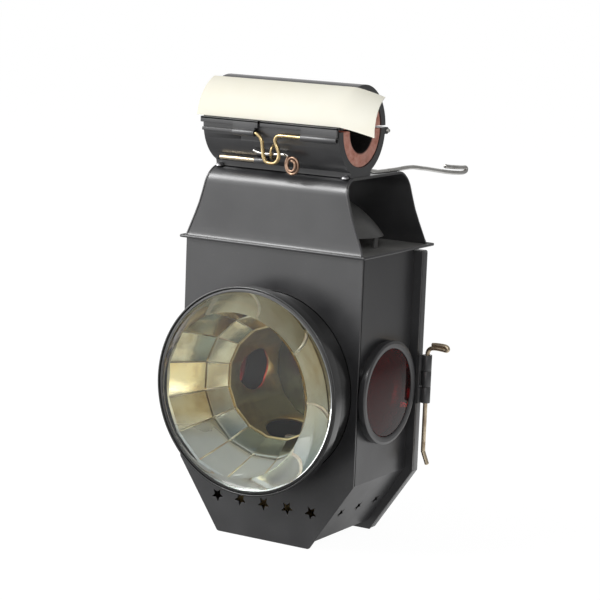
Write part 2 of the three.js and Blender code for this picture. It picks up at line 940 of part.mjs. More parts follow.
function capShell(inset) {
  const geometry = new THREE.SphereGeometry(1, capSides, capBands);
  geometry.rotateX(Math.PI / 2);
  const rim = THREE.MathUtils.degToRad(capRimAngle);
  const tall = (capRise - inset) / (1 - Math.sin(rim));
  geometry.scale((capHalfWidth - inset) / Math.cos(rim), (capHalfDepth - inset) / Math.cos(rim), tall);
  geometry.translate(0, draughtDepth, deckTop + capLift - tall * Math.sin(rim));
  return toSolid(geometry);
}

function smokeCap() {
  const base = deckTop + capLift;
  const shell = minus(capShell(0), capShell(sheet));
  const keepLow = [-capHalfWidth, -capHalfDepth, base];
  const keepHigh = [capHalfWidth, bodyDepth + capHalfDepth, base + capRise];
  const dome = shell.intersect(box(keepLow, keepHigh));
  const feet = [-1, 1].flatMap((side) => {
    const reach = side * (capHalfWidth - sheet / 2);
    const depth = side * (capHalfDepth - sheet / 2);
    const across = [reach - side * capFoot, reach].sort((a, b) => a - b);
    const along = [depth - side * capFoot, depth].sort((a, b) => a - b);
    const top = base + sheet;
    const low = deckTop + seam;
    return [
      box([across[0], draughtDepth - capFoot, low], [across[1], draughtDepth + capFoot, top]),
      box([-capFoot, draughtDepth + along[0], low], [capFoot, draughtDepth + along[1], top]),
    ];
  });
  return union(dome, ...feet);
}

// Hub clamp pieces

function halfSpace(from, to) {
  const reach = 3 * clampRadius;
  const low = [-reach, hubBehindFront - reach, from];
  return box(low, [reach, hubBehindFront + reach, to]);
}

function clampRing(outer, inner, halfLength) {
  const tube = rodX(outer, -halfLength, halfLength, hubBehindFront, hubHeight, clampSides);
  return minus(tube, rodX(inner, -2 * halfLength, 2 * halfLength, hubBehindFront, hubHeight, clampSides));
}

function lowerSplit() {
  return hubHeight + splitBelow;
}

function upperSplit() {
  return lowerSplit() + splitGap;
}

function saddle() {
  const foot = roofTop + seam;
  const flareTop = foot + saddleFlareHeight;
  const top = hubHeight - clampRadius + saddleTop;
  const wide = saddleHalfWidth + saddleFlare;
  const side = [
    [saddleHalfWidth, top],
    [saddleHalfWidth, flareTop],
    [saddleHalfWidth + saddleFlare / 4, (foot + flareTop) / 2],
    [wide, foot],
  ];
  const other = side.map(([y, z]) => [-y, z]).reverse();
  const outline = [...side, ...other].map(([y, z]) => [y + hubBehindFront, z]);
  return slabX(outline, -clampHalfLength, clampHalfLength);
}

function frontKnuckle(from, to) {
  return rodX(barrelRadius, from, to, frontAxisY, frontAxisZ, barrelSides);
}

function frontBore() {
  const reach = 2 * clampHalfLength;
  return rodX(barrelWire + hingeGap, -reach, reach, frontAxisY, frontAxisZ, barrelSides);
}

function rearKnuckle(from, to) {
  return rodX(barrelRadius, from, to, rearAxisY, rearAxisZ, barrelSides);
}

function rearBore() {
  const reach = 2 * clampHalfLength;
  return rodX(barrelWire + hingeGap, -reach, reach, rearAxisY, rearAxisZ, barrelSides);
}

function lowerClamp() {
  const ring = clampRing(clampRadius, clampRadius - clampWall, clampHalfLength);
  const bore = rodX(
    clampRadius - clampWall,
    -2 * clampHalfLength,
    2 * clampHalfLength,
    hubBehindFront,
    hubHeight,
    clampSides,
  );
  const shell = minus(union(ring, saddle()), bore);
  const lower = shell.intersect(halfSpace(0, lowerSplit()));
  const web = barrelRadius * webShare;
  const shellFront = hubBehindFront - clampRadius + plate;
  const knuckleEnd = -clampHalfLength + lowerKnuckleLength;
  const frontWeb = box(
    [-clampHalfLength, frontAxisY, frontAxisZ - web],
    [knuckleEnd, shellFront, frontAxisZ + web],
  );
  const front = union(frontKnuckle(-clampHalfLength, knuckleEnd), frontWeb);
  const half = rearKnuckleLength / 2;
  const spans = [
    [-clampHalfLength, -clampHalfLength + rearKnuckleLength],
    [-half, half],
    [clampHalfLength - rearKnuckleLength, clampHalfLength],
  ];
  const shellRear = hubBehindFront + clampRadius - plate;
  const rear = spans.map(([from, to]) => {
    const strap = box([from, shellRear, rearAxisZ - web], [to, rearAxisY, rearAxisZ + web]);
    return union(rearKnuckle(from, to), strap);
  });
  return minus(union(lower, front, ...rear), frontBore(), rearBore());
}

function upperFrontSpans() {
  const first = -clampHalfLength + lowerKnuckleLength + knuckleGap;
  const second = first + upperKnuckleLength + bailGapLength;
  return [
    [first, first + upperKnuckleLength],
    [second, clampHalfLength],
  ];
}

function upperStrip() {
  const outerY = frontAxisY - stripThickness / 2;
  const split = upperSplit();
  const shellFront = hubBehindFront - clampRadius + plate;
  const drop = box(
    [-clampHalfLength, outerY, split - stripDrop],
    [clampHalfLength, outerY + stripThickness, split + stripRise],
  );
  const ledge = box(
    [-clampHalfLength, outerY, split],
    [clampHalfLength, shellFront, split + stripRise],
  );
  const slot = box(
    [-slotAside - slotWidth / 2, outerY - plate, split - 2 * stripDrop],
    [-slotAside + slotWidth / 2, outerY + 2 * stripThickness, split + 2 * stripRise],
  );
  const knuckles = upperFrontSpans().map(([from, to]) => {
    const low = [from, outerY, frontAxisZ];
    const web = box(low, [to, outerY + stripThickness, split - stripDrop + seam]);
    return union(frontKnuckle(from, to), web);
  });
  return union(minus(union(drop, ledge), slot), ...knuckles);
}

function upperRearStrap(from, to) {
  const split = upperSplit();
  const half = stripThickness / 2;
  const shellRear = hubBehindFront + clampRadius - clampWall / 2;
  const hang = box([from, rearAxisY - half, rearAxisZ], [to, rearAxisY + half, split + stripRise]);
  const ledge = box([from, shellRear, split], [to, rearAxisY + half, split + stripRise]);
  return union(rearKnuckle(from, to), hang, ledge);
}

function upperClamp() {
  const ring = clampRing(clampRadius, clampRadius - clampWall, clampHalfLength);
  const upper = ring.intersect(halfSpace(upperSplit(), hubHeight + 2 * clampRadius));
  const inner = rearKnuckleLength / 2 + knuckleGap;
  const outer = clampHalfLength - rearKnuckleLength - knuckleGap;
  const strap = upperRearStrap(inner, outer);
  const whole = union(upper, upperStrip(), strap, mirrored(strap));
  return minus(whole, frontBore(), rearBore());
}

function hingePin() {
  const reach = clampHalfLength + plate;
  return rodX(barrelWire, -reach, reach, rearAxisY, rearAxisZ, barrelSides);
}

function liner() {
  return clampRing(linerRadius, boreRadius, clampHalfLength - linerRecess);
}

function lowerLiner() {
  return liner().intersect(halfSpace(0, lowerSplit()));
}

function upperLiner() {
  return liner().intersect(halfSpace(upperSplit(), hubHeight + 2 * clampRadius));
}

function saddleRivet() {
  const y = hubBehindFront - rivetAhead;
  const geometry = new THREE.CylinderGeometry(rivetRadius / 2, rivetRadius, rivetHeight, barrelSides);
  geometry.rotateX(Math.PI / 2);
  geometry.translate(rivetAside, y, roofTop + seam + rivetHeight / 2);
  return minus(toSolid(geometry), saddleClear());
}

function saddleClear() {
  const foot = roofTop + seam;
  const wide = saddleHalfWidth + saddleFlare + seam;
  const low = [-clampHalfLength, hubBehindFront - wide, foot - plate];
  return box(low, [clampHalfLength, hubBehindFront + wide, foot + plate]);
}

// Clasp pieces

function bail() {
  const spans = upperFrontSpans();
  const left = spans[0][1];
  const right = spans[1][0];
  const y = frontAxisY;
  const top = frontAxisZ;
  const bottom = top - bailLength;
  const middle = bailAside;
  const waist = bailWaistHalfWidth;
  const wide = bailHalfWidth;
  const points = [
    [left - bailGrip, y, top],
    [left - bailGrip / 3, y, top],
    [left, y, top],
    [left + barrelWire, y, top],
    [middle - waist - waist / 2, y, top - bailLength / 5],
    [middle - wide, y, top - (2 * bailLength) / 5],
    [middle - wide, y, top - (3 * bailLength) / 5],
    [middle - wide + waist / 4, y, top - (4 * bailLength) / 5],
    [middle - waist / 2, y, bottom],
    [middle + waist / 2, y, bottom],
    [middle + wide, y, top - (4 * bailLength) / 5],
    [middle + wide, y, top - (3 * bailLength) / 5],
    [middle + waist, y, top - (2 * bailLength) / 5],
    [middle + waist - waist / 4, y, top - bailLength / 5],
    [middle + wide, y, top],
    [middle + 2 * wide, y, top],
    [right, y, top],
    [right + bailGrip, y, top],
  ];
  return wire(points, barrelWire, bailSteps, bailTensionShare);
}

function stapleRing() {
  const geometry = new THREE.TorusGeometry(ringRadius, ringWire, wireSides, ringSides);
  geometry.rotateY(Math.PI / 2);
  geometry.scale(1, ringDepthShare, 1);
  geometry.translate(ringAside, hubBehindFront - ringOut, hubHeight - ringDrop);
  const shellSpace = rodX(
    clampRadius + seam,
    -clampHalfLength,
    clampHalfLength,
    hubBehindFront,
    hubHeight,
    clampSides,
  );
  return minus(toSolid(geometry), shellSpace);
}

function lockingPin() {
  const y = hubBehindFront - lockOut;
  const z = hubHeight - lockDrop;
  const points = [
    [-lockTip, y, z + lockWire],
    [-lockTip * lockStraightShare, y, z],
    [0, y, z],
    [lockReach / 2, y, z],
    [lockReach - curlRadius / 2, y, z],
  ];
  const centreX = lockReach + curlRadius;
  const centreZ = z - curlDrop;
  const steps = curlSteps;
  for (let i = 0; i <= steps; i += 1) {
    const angle = Math.PI + (i / steps) * curlTurns * 2 * Math.PI;
    const shrink = 1 - (curlShrinkShare * i) / steps;
    const radius = curlRadius * shrink;
    points.push([centreX + radius * Math.cos(angle), y, centreZ + radius * Math.sin(angle)]);
  }
  return wire(points, lockWire, lockingPinSteps, bailTensionShare);
}

function boltAxis() {
  return { y: hubBehindFront - boltOut, z: hubHeight - boltDrop };
}

function boltSleeve() {
  const { y, z } = boltAxis();
  const from = -sleeveLeft;
  const to = from + sleeveLength;
  const tube = rodX(sleeveRadius, from, to, y, z, barrelSides);
  const bore = rodX(boltRadius + hingeGap, from - plate, to + plate, y, z, barrelSides);
  return minus(tube, bore);
}

function slideBolt() {
  const { y, z } = boltAxis();
  const end = -sleeveLeft + sleeveLength - plate;
  return rodX(boltRadius, -boltLeft, end, y, z, barrelSides);
}

// Wire arm pieces

function armAxis() {
  return { y: hubBehindFront + armAxisBehind, z: roofTop + lugRadius + seam };
}

function armLug() {
  const { y, z } = armAxis();
  const to = armAside - armBend;
  const tube = rodX(lugRadius, to - lugLength, to, y, z, barrelSides);
  const bore = rodX(armWire + hingeGap, to - 2 * lugLength, to + plate, y, z, barrelSides);
  return minus(tube, bore);
}

function wireArm() {
  const { y, z } = armAxis();
  const rest = roofTop + armWire + seam;
  const lugEnd = armAside - armBend;
  const start = lugEnd - lugLength;
  const end = y + armReach;
  const low = rest - armSag;
  const points = [
    [start, y, z],
    [start + lugLength / 2, y, z],
    [lugEnd, y, z],
    [lugEnd + armWire, y, z],
    [armAside - armWire / 2, y + armWire / 2, z],
    [armAside, y + 3 * armWire, rest + armWire / 4],
    [armAside, y + armRest / 2, rest],
    [armAside, y + armRest, rest],
    [armAside, y + (armRest + armReach) / 2, low + armSag / 2],
    [armAside, end - armReturnPitch, low],
    [armAside, end, low + armReturnPitch / 2],
    [armAside, end - armReturnPitch, low + armReturnPitch],
    [armAside, end - armReturn, low + armReturnPitch + armSag / 3],
  ];
  return wire(points, armWire, armSteps, armTensionShare);
}

// Paper label: a thin strip bent round the upper clamp, its free end drooping

function labelPoint(share, across, radius) {
  const x = -labelLeft + (labelLeft + labelRight) * share;
  const low = (labelLowAngle * Math.PI) / 180;
  const high = (labelHighAngle * Math.PI) / 180;
  const angle = low + (high - low) * across;
  const past = Math.max(0, (x - clampHalfLength) / (labelRight - clampHalfLength));
  const droop = labelDroop * past ** labelDroopShare;
  const y = hubBehindFront - radius * Math.cos(angle);
  return [x, y, hubHeight + radius * Math.sin(angle) - droop];
}

function paperLabel() {
  const columns = labelColumns;
  const rows = labelRows;
  const inner = clampRadius + cutGap;
  const position = [];
  [inner, inner + labelThickness].forEach((radius) => {
    for (let i = 0; i <= columns; i += 1) {
      for (let j = 0; j <= rows; j += 1) {
        position.push(...labelPoint(i / columns, j / rows, radius));
      }
    }
  });
  const layer = (columns + 1) * (rows + 1);
  const at = (side, i, j) => side * layer + i * (rows + 1) + j;
  const index = [];
  const quad = (a, b, c, d) => index.push(a, b, c, a, c, d);
  for (let i = 0; i < columns; i += 1) {
    for (let j = 0; j < rows; j += 1) {
      quad(at(0, i, j), at(0, i, j + 1), at(0, i + 1, j + 1), at(0, i + 1, j));
      quad(at(1, i, j), at(1, i + 1, j), at(1, i + 1, j + 1), at(1, i, j + 1));
    }
    quad(at(0, i, 0), at(0, i + 1, 0), at(1, i + 1, 0), at(1, i, 0));
    quad(at(0, i, rows), at(1, i, rows), at(1, i + 1, rows), at(0, i + 1, rows));
  }
  for (let j = 0; j < rows; j += 1) {
    quad(at(0, 0, j), at(1, 0, j), at(1, 0, j + 1), at(0, 0, j + 1));
    quad(at(0, columns, j), at(0, columns, j + 1), at(1, columns, j + 1), at(1, columns, j));
  }
  const geometry = new THREE.BufferGeometry();
  geometry.setAttribute('position', new THREE.BufferAttribute(new Float32Array(position), 3));
  geometry.setIndex(index);
  return toSolid(geometry);
}

// Assembly: the origin moves to the middle of the hub

const lamp = new THREE.Group();
lamp.name = 'hub_lamp';

function add(name, solid, color, metalness, roughness) {
  const geometry = toGeometry(solid.translate([0, -hubBehindFront, -hubHeight]));
  const material = new THREE.MeshStandardMaterial({ color, metalness, roughness });
  const mesh = new THREE.Mesh(geometry, material);
  mesh.name = name;
  lamp.add(mesh);
}

const panel = sidePanel();
const collar = sideCollar();
const bezel = sideBezel();
const glass = sideLens();
const ring = sideLensRing();
const rivet = saddleRivet();

add('front_plate', frontPlate(), paint.japan, 0.3, 0.4);
add('right_side_panel', panel, paint.japan, 0.3, 0.4);
add('left_side_panel', mirrored(panel), paint.japan, 0.3, 0.4);
add('bottom_plate', bottomPlate(), paint.japan, 0.3, 0.4);
add('rear_frame', rearFrame(), paint.japan, 0.3, 0.4);
add('frame_hinge', frameHinge(), paint.japan, 0.3, 0.4);
add('door', doorTray(), paint.japan, 0.3, 0.4);
add('door_knuckle', doorKnuckle(), paint.japan, 0.3, 0.4);
add('door_pin', doorPin(), paint.brass, 0.9, 0.4);
add('lens_drum', lensDrum(), paint.japan, 0.3, 0.4);
add('lens_bezel', lensBezel(), paint.japan, 0.3, 0.3);
add('front_lens', frontLens(), paint.glass, 0, 0.05);
add('right_lens_collar', collar, paint.japan, 0.3, 0.4);
add('right_lens_bezel', bezel, paint.japan, 0.3, 0.3);
add('right_lens', glass, paint.red, 0, 0.1);
add('right_lens_ring', ring, paint.japan, 0.3, 0.4);
add('left_lens_collar', mirrored(collar), paint.japan, 0.3, 0.4);
add('left_lens_bezel', mirrored(bezel), paint.japan, 0.3, 0.3);
add('left_lens', mirrored(glass), paint.red, 0, 0.1);
add('left_lens_ring', mirrored(ring), paint.japan, 0.3, 0.4);
add('reflector', reflector(), paint.silver, 1, 0.15);
add('oil_font', oilFont(), paint.brass, 0.8, 0.5);
add('filler_cap', fillerCap(), paint.brass, 0.8, 0.5);
add('burner', burner(), paint.brass, 0.8, 0.5);
add('wick', wick(), paint.wick, 0, 0.9);
add('wick_winder', wickWinder(), paint.brass, 0.8, 0.5);
add('roof_deck', roofDeck(), paint.japan, 0.3, 0.4);
add('roof_cowl', roofCowl(), paint.japan, 0.3, 0.4);
add('smoke_cap', smokeCap(), paint.japan, 0.3, 0.4);
add('lower_clamp', lowerClamp(), paint.japan, 0.3, 0.4);
add('lower_liner', lowerLiner(), paint.leather, 0, 0.8);
add('right_saddle_rivet', rivet, paint.steel, 0.9, 0.4);
add('left_saddle_rivet', mirrored(rivet), paint.steel, 0.9, 0.4);
add('upper_clamp', upperClamp(), paint.japan, 0.3, 0.4);
add('upper_liner', upperLiner(), paint.leather, 0, 0.8);
add('clamp_hinge_pin', hingePin(), paint.steel, 0.9, 0.4);
add('bail', bail(), paint.brass, 0.9, 0.35);
add('staple_ring', stapleRing(), paint.brass, 0.9, 0.35);
add('locking_pin', lockingPin(), paint.brass, 0.9, 0.45);
add('bolt_sleeve', boltSleeve(), paint.japan, 0.3, 0.4);
add('slide_bolt', slideBolt(), paint.brass, 0.9, 0.35);
add('arm_lug', armLug(), paint.japan, 0.3, 0.4);
add('wire_arm', wireArm(), paint.steel, 0.9, 0.35);
add('paper_label', paperLabel(), paint.paper, 0, 0.9);

export default lamp;
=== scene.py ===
# %% [markdown]
# # A bicycle hub lamp, dressed in Blender
# This is an oil lamp that hung on the hub of a high wheel. The CAD model already holds
# every piece at its real place and size, so the lesson starts from that frame. Each step
# then gives one piece its fine form, or one surface its finish.

# %% Load the frame
import math

import bmesh
import bpy
from mathutils import Matrix, Vector


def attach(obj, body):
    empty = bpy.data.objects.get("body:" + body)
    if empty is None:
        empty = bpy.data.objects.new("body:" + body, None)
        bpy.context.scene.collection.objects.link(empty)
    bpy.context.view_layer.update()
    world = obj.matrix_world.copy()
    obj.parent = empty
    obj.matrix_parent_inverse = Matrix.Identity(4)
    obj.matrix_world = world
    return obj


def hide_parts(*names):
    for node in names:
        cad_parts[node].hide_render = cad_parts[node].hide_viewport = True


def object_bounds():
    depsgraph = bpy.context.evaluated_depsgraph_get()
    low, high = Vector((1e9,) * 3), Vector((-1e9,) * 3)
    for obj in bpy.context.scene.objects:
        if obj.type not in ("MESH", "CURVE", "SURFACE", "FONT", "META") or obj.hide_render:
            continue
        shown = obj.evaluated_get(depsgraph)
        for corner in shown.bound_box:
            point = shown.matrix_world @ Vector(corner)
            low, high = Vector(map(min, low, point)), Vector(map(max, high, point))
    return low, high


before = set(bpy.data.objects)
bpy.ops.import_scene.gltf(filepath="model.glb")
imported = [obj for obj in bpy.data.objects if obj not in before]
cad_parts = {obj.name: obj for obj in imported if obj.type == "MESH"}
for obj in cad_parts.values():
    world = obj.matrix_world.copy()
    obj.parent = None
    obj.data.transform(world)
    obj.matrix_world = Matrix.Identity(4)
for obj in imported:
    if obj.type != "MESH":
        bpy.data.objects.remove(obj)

cad_box = [list(corner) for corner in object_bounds()]
print("CAD box in metres:", cad_box)

# %% [markdown]
# ## One way to measure
# A tinsmith measures the case from the lower front edge of its front plate, so the sizes
# below do too, in millimetres. The frame's origin is the middle of the hub, 15.3 mm
# behind the front plate and 202.7 mm above its lower edge, and `place` turns one into
# the other. That keeps every number readable as a measured size.

# %% From the maker's millimetres to the frame
hub_behind_front = 15.3
hub_height = 202.7


def place(x, y, z):
    """A point in the maker's millimetres as a point in the frame's metres."""
    return Vector((x, y - hub_behind_front, z - hub_height)) / 1000


print("the hub's middle is at", tuple(place(0, hub_behind_front, hub_height)))

# %% [markdown]
# ## Finishes are built from a few kinds of node
# Every finish here is procedural. Noise gives uneven colour, a second noise gives uneven
# gloss, and a bump gives the small relief that catches the light. `add` makes a node and
# feeds its inputs in one go. Writing the rest once as helpers too keeps each finish down
# to its own colours and scales.

# %% Nodes and what feeds them
def feed(tree, value, socket):
    """Gives a socket a number, a direction, a colour, or what another socket sends."""
    if isinstance(value, bpy.types.NodeSocket):
        tree.links.new(value, socket)
    elif socket.type == "RGBA":
        socket.default_value = (*value, 1)
    else:
        socket.default_value = value


def dress(tree, node, inputs):
    """Feeds several inputs of a node."""
    for name, value in inputs.items():
        feed(tree, value, node.inputs[name])


def add(tree, kind, inputs=None, **settings):
    """A new node of a kind, with its settings made and its inputs fed."""
    node = tree.nodes.new(kind)
    for name, value in settings.items():
        setattr(node, name, value)
    dress(tree, node, inputs or {})
    return node


# %% A finish and its noise
def new_finish(name):
    """An empty node material with its shader, and the object's own coordinates."""
    finish = bpy.data.materials.new(name)
    finish.use_nodes = True
    tree = finish.node_tree
    tree.nodes.clear()
    shader = add(tree, "ShaderNodeBsdfPrincipled")
    add(tree, "ShaderNodeOutputMaterial", {0: shader.outputs[0]})
    return finish, tree, shader, add(tree, "ShaderNodeTexCoord").outputs["Object"]


def speckle(tree, where, scale, detail=4.0, rough=0.55):
    """Noise over the surface; a scale of 100 has features of about 10 mm."""
    settings = {"Scale": scale, "Detail": detail, "Roughness": rough, "Vector": where}
    return add(tree, "ShaderNodeTexNoise", settings).outputs["Fac"]


# %% Colours and numbers along an amount
def shades(tree, amount, *stops):
    """Colours along an amount from 0 to 1, each stop a place and a colour."""
    ramp = add(tree, "ShaderNodeValToRGB", {0: amount})
    ramp.color_ramp.elements[0].position, first = stops[0]
    ramp.color_ramp.elements[0].color = (*first, 1)
    ramp.color_ramp.elements[1].position, last = stops[-1]
    ramp.color_ramp.elements[1].color = (*last, 1)
    for spot, colour in stops[1:-1]:
        ramp.color_ramp.elements.new(spot).color = (*colour, 1)
    return ramp.outputs["Color"]


def spread(tree, amount, low, high, start=0.3, end=0.7):
    """A number from low to high as the amount goes from start to end."""
    settings = {"Value": amount, "From Min": start, "From Max": end, "To Min": low, "To Max": high}
    return add(tree, "ShaderNodeMapRange", settings).outputs["Result"]


# %% Mixing and arithmetic
def blend_colours(tree, amount, under, over):
    """Two colours mixed by an amount."""
    return add(tree, "ShaderNodeMix", {"Factor": amount, 6: under, 7: over}, data_type="RGBA").outputs[2]


def blend_numbers(tree, amount, under, over):
    """Two numbers mixed by an amount."""
    return add(tree, "ShaderNodeMix", {"Factor": amount, "A": under, "B": over}).outputs["Result"]


def maths(tree, operation, first, second):
    """One step of arithmetic on two amounts."""
    return add(tree, "ShaderNodeMath", {0: first, 1: second}, operation=operation).outputs[0]


# %% Measuring a place
def reach_along(tree, where, direction):
    """How far a place lies along a direction."""
    both = {0: where, 1: direction}
    return add(tree, "ShaderNodeVectorMath", both, operation="DOT_PRODUCT").outputs["Value"]


def distance_out(tree, where, directions=(1, 1, 1)):
    """How far a place lies from the frame's origin, measured in the directions that count."""
    counted = add(tree, "ShaderNodeVectorMath", {0: where, 1: directions}, operation="MULTIPLY")
    return add(tree, "ShaderNodeVectorMath", {0: counted.outputs[0]}, operation="LENGTH").outputs["Value"]


# %% Small relief
def relief(tree, shader, *layers):
    """Bumps on top of each other, each an amount, a strength and a height in metres."""
    below = None
    for amount, strength, height in layers:
        bump = add(tree, "ShaderNodeBump", {"Strength": strength, "Distance": height, "Height": amount})
        if below is not None:
            feed(tree, below, bump.inputs["Normal"])
        below = bump.outputs["Normal"]
    feed(tree, below, shader.inputs["Normal"])


print("finish helpers are ready")

# %% [markdown]
# ## Japan, the black of the case
# The case is tinplate under baked black japan, a thick bitumen varnish. It is smooth but
# never quite flat, so highlights on it are wide and soft, and the sheet under it waves a
# little. One base colour would look like plastic. Noise in four sizes breaks it up, a
# clear coat gives the varnish its depth, and a bevelled normal finds the sharp edges,
# where the coat is rubbed thin. The same recipe gives the matte black seat round the glass,
# a far blacker japan as painted shade on the lens drum and bezel, and the dusty deck and
# smoke cap, which no cloth reaches; the deck's grey is raised further as painted light.

# %% The japan finish
black_dust = (0.09, 0.088, 0.082)
rubbed_tin = (0.16, 0.14, 0.12)
edge_reach = 0.0005


def make_japan(name, deep, lit, gloss, rubbed):
    """Black varnish over tinplate: two blacks, a roughness, and how much edges are rubbed."""
    finish, tree, shader, where = new_finish(name)
    cloud = speckle(tree, where, 45, 5)
    fine = speckle(tree, where, 900, 3)
    colour = shades(tree, cloud, (0.3, deep), (0.72, lit))
    dust = spread(tree, fine, 0.0, 0.35, 0.64, 0.78)
    colour = blend_colours(tree, dust, colour, black_dust)
    soft = add(tree, "ShaderNodeBevel", {"Radius": edge_reach}, samples=4).outputs[0]
    plain = add(tree, "ShaderNodeNewGeometry").outputs["Normal"]
    edge = spread(tree, reach_along(tree, soft, plain), rubbed, 0.0, 0.80, 0.97)
    patches = spread(tree, speckle(tree, where, 260, 3), 0.0, 1.0, 0.45, 0.6)
    colour = blend_colours(tree, maths(tree, "MULTIPLY", edge, patches), colour, rubbed_tin)
    roughness = spread(tree, cloud, gloss - 0.05, gloss + 0.08)
    dress(tree, shader, {"Base Color": colour, "Roughness": roughness, "IOR": 1.75,
                         "Coat Weight": 0.5, "Coat Roughness": 0.25})
    relief(tree, shader, (speckle(tree, where, 22, 2), 0.35, 0.0007), (fine, 0.12, 0.00006))
    return finish


# %% The black surfaces
japan = make_japan("japan", (0.022, 0.022, 0.024), (0.036, 0.036, 0.038), 0.38, 0.55)
# A matte black for the seat round the front glass, which keeps the groove there dark.
seat_black = make_japan("seat_matte_black", (0.006, 0.006, 0.006), (0.014, 0.013, 0.012), 0.62, 0.0)
# Dust grey for the deck, raised further as painted light where the hood shades it.
deck_dust_and_painted_light = make_japan("deck_dust_and_painted_light", (0.20, 0.20, 0.195), (0.36, 0.355, 0.34), 0.55, 0.0)
# A far blacker japan for the lens drum and bezel: painted shade.
drum_black_painted_shade = make_japan("drum_japan_painted_shade", (0.005, 0.005, 0.005), (0.010, 0.010, 0.010), 0.20, 0.0)
dusty = make_japan("dusty_japan", (0.10, 0.10, 0.098), (0.19, 0.188, 0.18), 0.55, 0.0)
print("made", japan.name, seat_black.name, deck_dust_and_painted_light.name, drum_black_painted_shade.name, "and", dusty.name)

# %% [markdown]
# ## Brass and steel wire
# The clasp, the bolt and the door's pin are brass wire that has gone brown where fingers
# don't reach. The arm is bright steel wire, and so is the locking pin but for its coppery
# curl. Metal takes its look from what it mirrors, so the colour stays simple and the
# roughness and the tarnish do the work.

# %% Wire and sheet metals
def make_metal(name, bright, dull, rough, dull_share, grain):
    """Bare metal with tarnish: two colours, a roughness, how much is dull, and its scale."""
    finish, tree, shader, where = new_finish(name)
    stain = speckle(tree, where, grain, 5, 0.6)
    colour = shades(tree, stain, (dull_share - 0.16, dull), (dull_share + 0.14, bright))
    roughness = spread(tree, stain, rough + 0.22, rough, dull_share - 0.15, dull_share + 0.15)
    dress(tree, shader, {"Base Color": colour, "Metallic": 1.0, "Roughness": roughness})
    relief(tree, shader, (speckle(tree, where, grain * 6, 2), 0.2, 0.00005))
    return finish


# %% The metals of the wire and the tank
clasp_brass = make_metal("clasp_brass", (0.72, 0.56, 0.29), (0.24, 0.16, 0.09), 0.22, 0.42, 160)
pin_brass = make_metal("pin_brass", (0.74, 0.62, 0.45), (0.30, 0.20, 0.13), 0.26, 0.40, 140)
curl_copper = make_metal("curl_copper", (0.52, 0.34, 0.24), (0.16, 0.10, 0.08), 0.26, 0.42, 140)
font_brass = make_metal("font_brass", (0.50, 0.38, 0.18), (0.22, 0.14, 0.07), 0.38, 0.50, 60)
bright_steel = make_metal("bright_steel", (0.72, 0.71, 0.68), (0.30, 0.28, 0.25), 0.18, 0.36, 120)
solder = make_metal("solder", (0.55, 0.55, 0.56), (0.26, 0.26, 0.27), 0.32, 0.45, 300)
wire_metals = (clasp_brass, pin_brass, curl_copper, font_brass, bright_steel, solder)
print("made the metals:", *(metal.name for metal in wire_metals))

# %% [markdown]
# ## The silvered reflector
# Behind the front lens stands a bowl of flat silvered strips. Old silver goes a warm
# yellow, so the mirror is tinted, and thin clouds of tarnish make it less sharp in places.
# At its foot the first band is painted a pale, less metallic white as painted light, and the
# second a dark grey as painted shade. Two amounts that depend on height and depth pick those
# places out. The cone behind the bands is a deeper gold, and its back is plain tin.

# %% The reflector's silver
silvered, tree, shader, where = new_finish("aged_silver")
cloud = speckle(tree, where, 70, 5, 0.6)
colour = shades(tree, cloud, (0.30, (0.62, 0.48, 0.26)), (0.5, (0.86, 0.76, 0.52)),
                (0.75, (0.93, 0.88, 0.72)))
# Painted light and painted shade at the foot of the two bands.
foot_painted_light, foot_painted_shade = (0.90, 0.93, 0.92), (0.30, 0.35, 0.34)
band_joint = (-0.014, -0.010)
height = reach_along(tree, where, (0, 0, 1))
depth = reach_along(tree, where, (0, 1, 0))
first_band = spread(tree, depth, 1.0, 0.0, *band_joint)
second_band = spread(tree, depth, 0.0, 1.0, *band_joint)
painted_light_at_foot = maths(tree, "MULTIPLY", spread(tree, height, 1.0, 0.0, -0.153, -0.141), first_band)
painted_shade_at_foot = maths(tree, "MULTIPLY", spread(tree, height, 1.0, 0.0, -0.150, -0.136), second_band)
colour = blend_colours(tree, painted_shade_at_foot, colour, foot_painted_shade)
colour = blend_colours(tree, painted_light_at_foot, colour, foot_painted_light)
metal_share = spread(tree, painted_light_at_foot, 1.0, 0.4, 0.0, 1.0)
roughness = maths(tree, "ADD", maths(tree, "MULTIPLY", painted_light_at_foot, 0.3), spread(tree, cloud, 0.16, 0.05))
dress(tree, shader, {"Base Color": colour, "Metallic": metal_share, "Roughness": roughness})
relief(tree, shader, (speckle(tree, where, 90, 2), 0.15, 0.0003))

# %% The rear cone, its back, and the solder
dull_tin = make_metal("dull_tin", (0.17, 0.19, 0.17), (0.07, 0.075, 0.07), 0.26, 0.45, 60)
old_gold = make_metal("old_gold", (0.95, 0.78, 0.42), (0.62, 0.47, 0.22), 0.36, 0.42, 45)
joint_solder = make_metal("joint_solder", (0.95, 0.88, 0.70), (0.80, 0.62, 0.48), 0.34, 0.42, 90)
print("made", silvered.name, dull_tin.name, old_gold.name, "and", joint_solder.name)

# %% [markdown]
# ## Glass
# The front lens is thick clear glass with a faint green cast, and the side lenses are
# deep red. Both are closed solids with a transmissive shader, so that the bevel bends
# what is behind it as real glass does. A trace of waviness and a few dusty patches keep
# the surface from being perfect.

# %% The two glasses
def make_glass(name, tint, haze, wave, bending):
    """Glass: its tint, how rough its dusty patches are, its waves, and how far it bends light."""
    finish, tree, shader, where = new_finish(name)
    film = speckle(tree, where, 130, 6, 0.65)
    dusty_tint = tuple(c * 0.8 for c in tint)
    colour = blend_colours(tree, spread(tree, film, 0.0, 0.5, 0.55, 0.85), tint, dusty_tint)
    roughness = spread(tree, film, 0.0, haze, 0.5, 0.8)
    dress(tree, shader, {"Base Color": colour, "Roughness": roughness, "Transmission Weight": 1.0,
                         "IOR": bending})
    relief(tree, shader, (speckle(tree, where, 28, 1), 0.25, wave))
    return finish


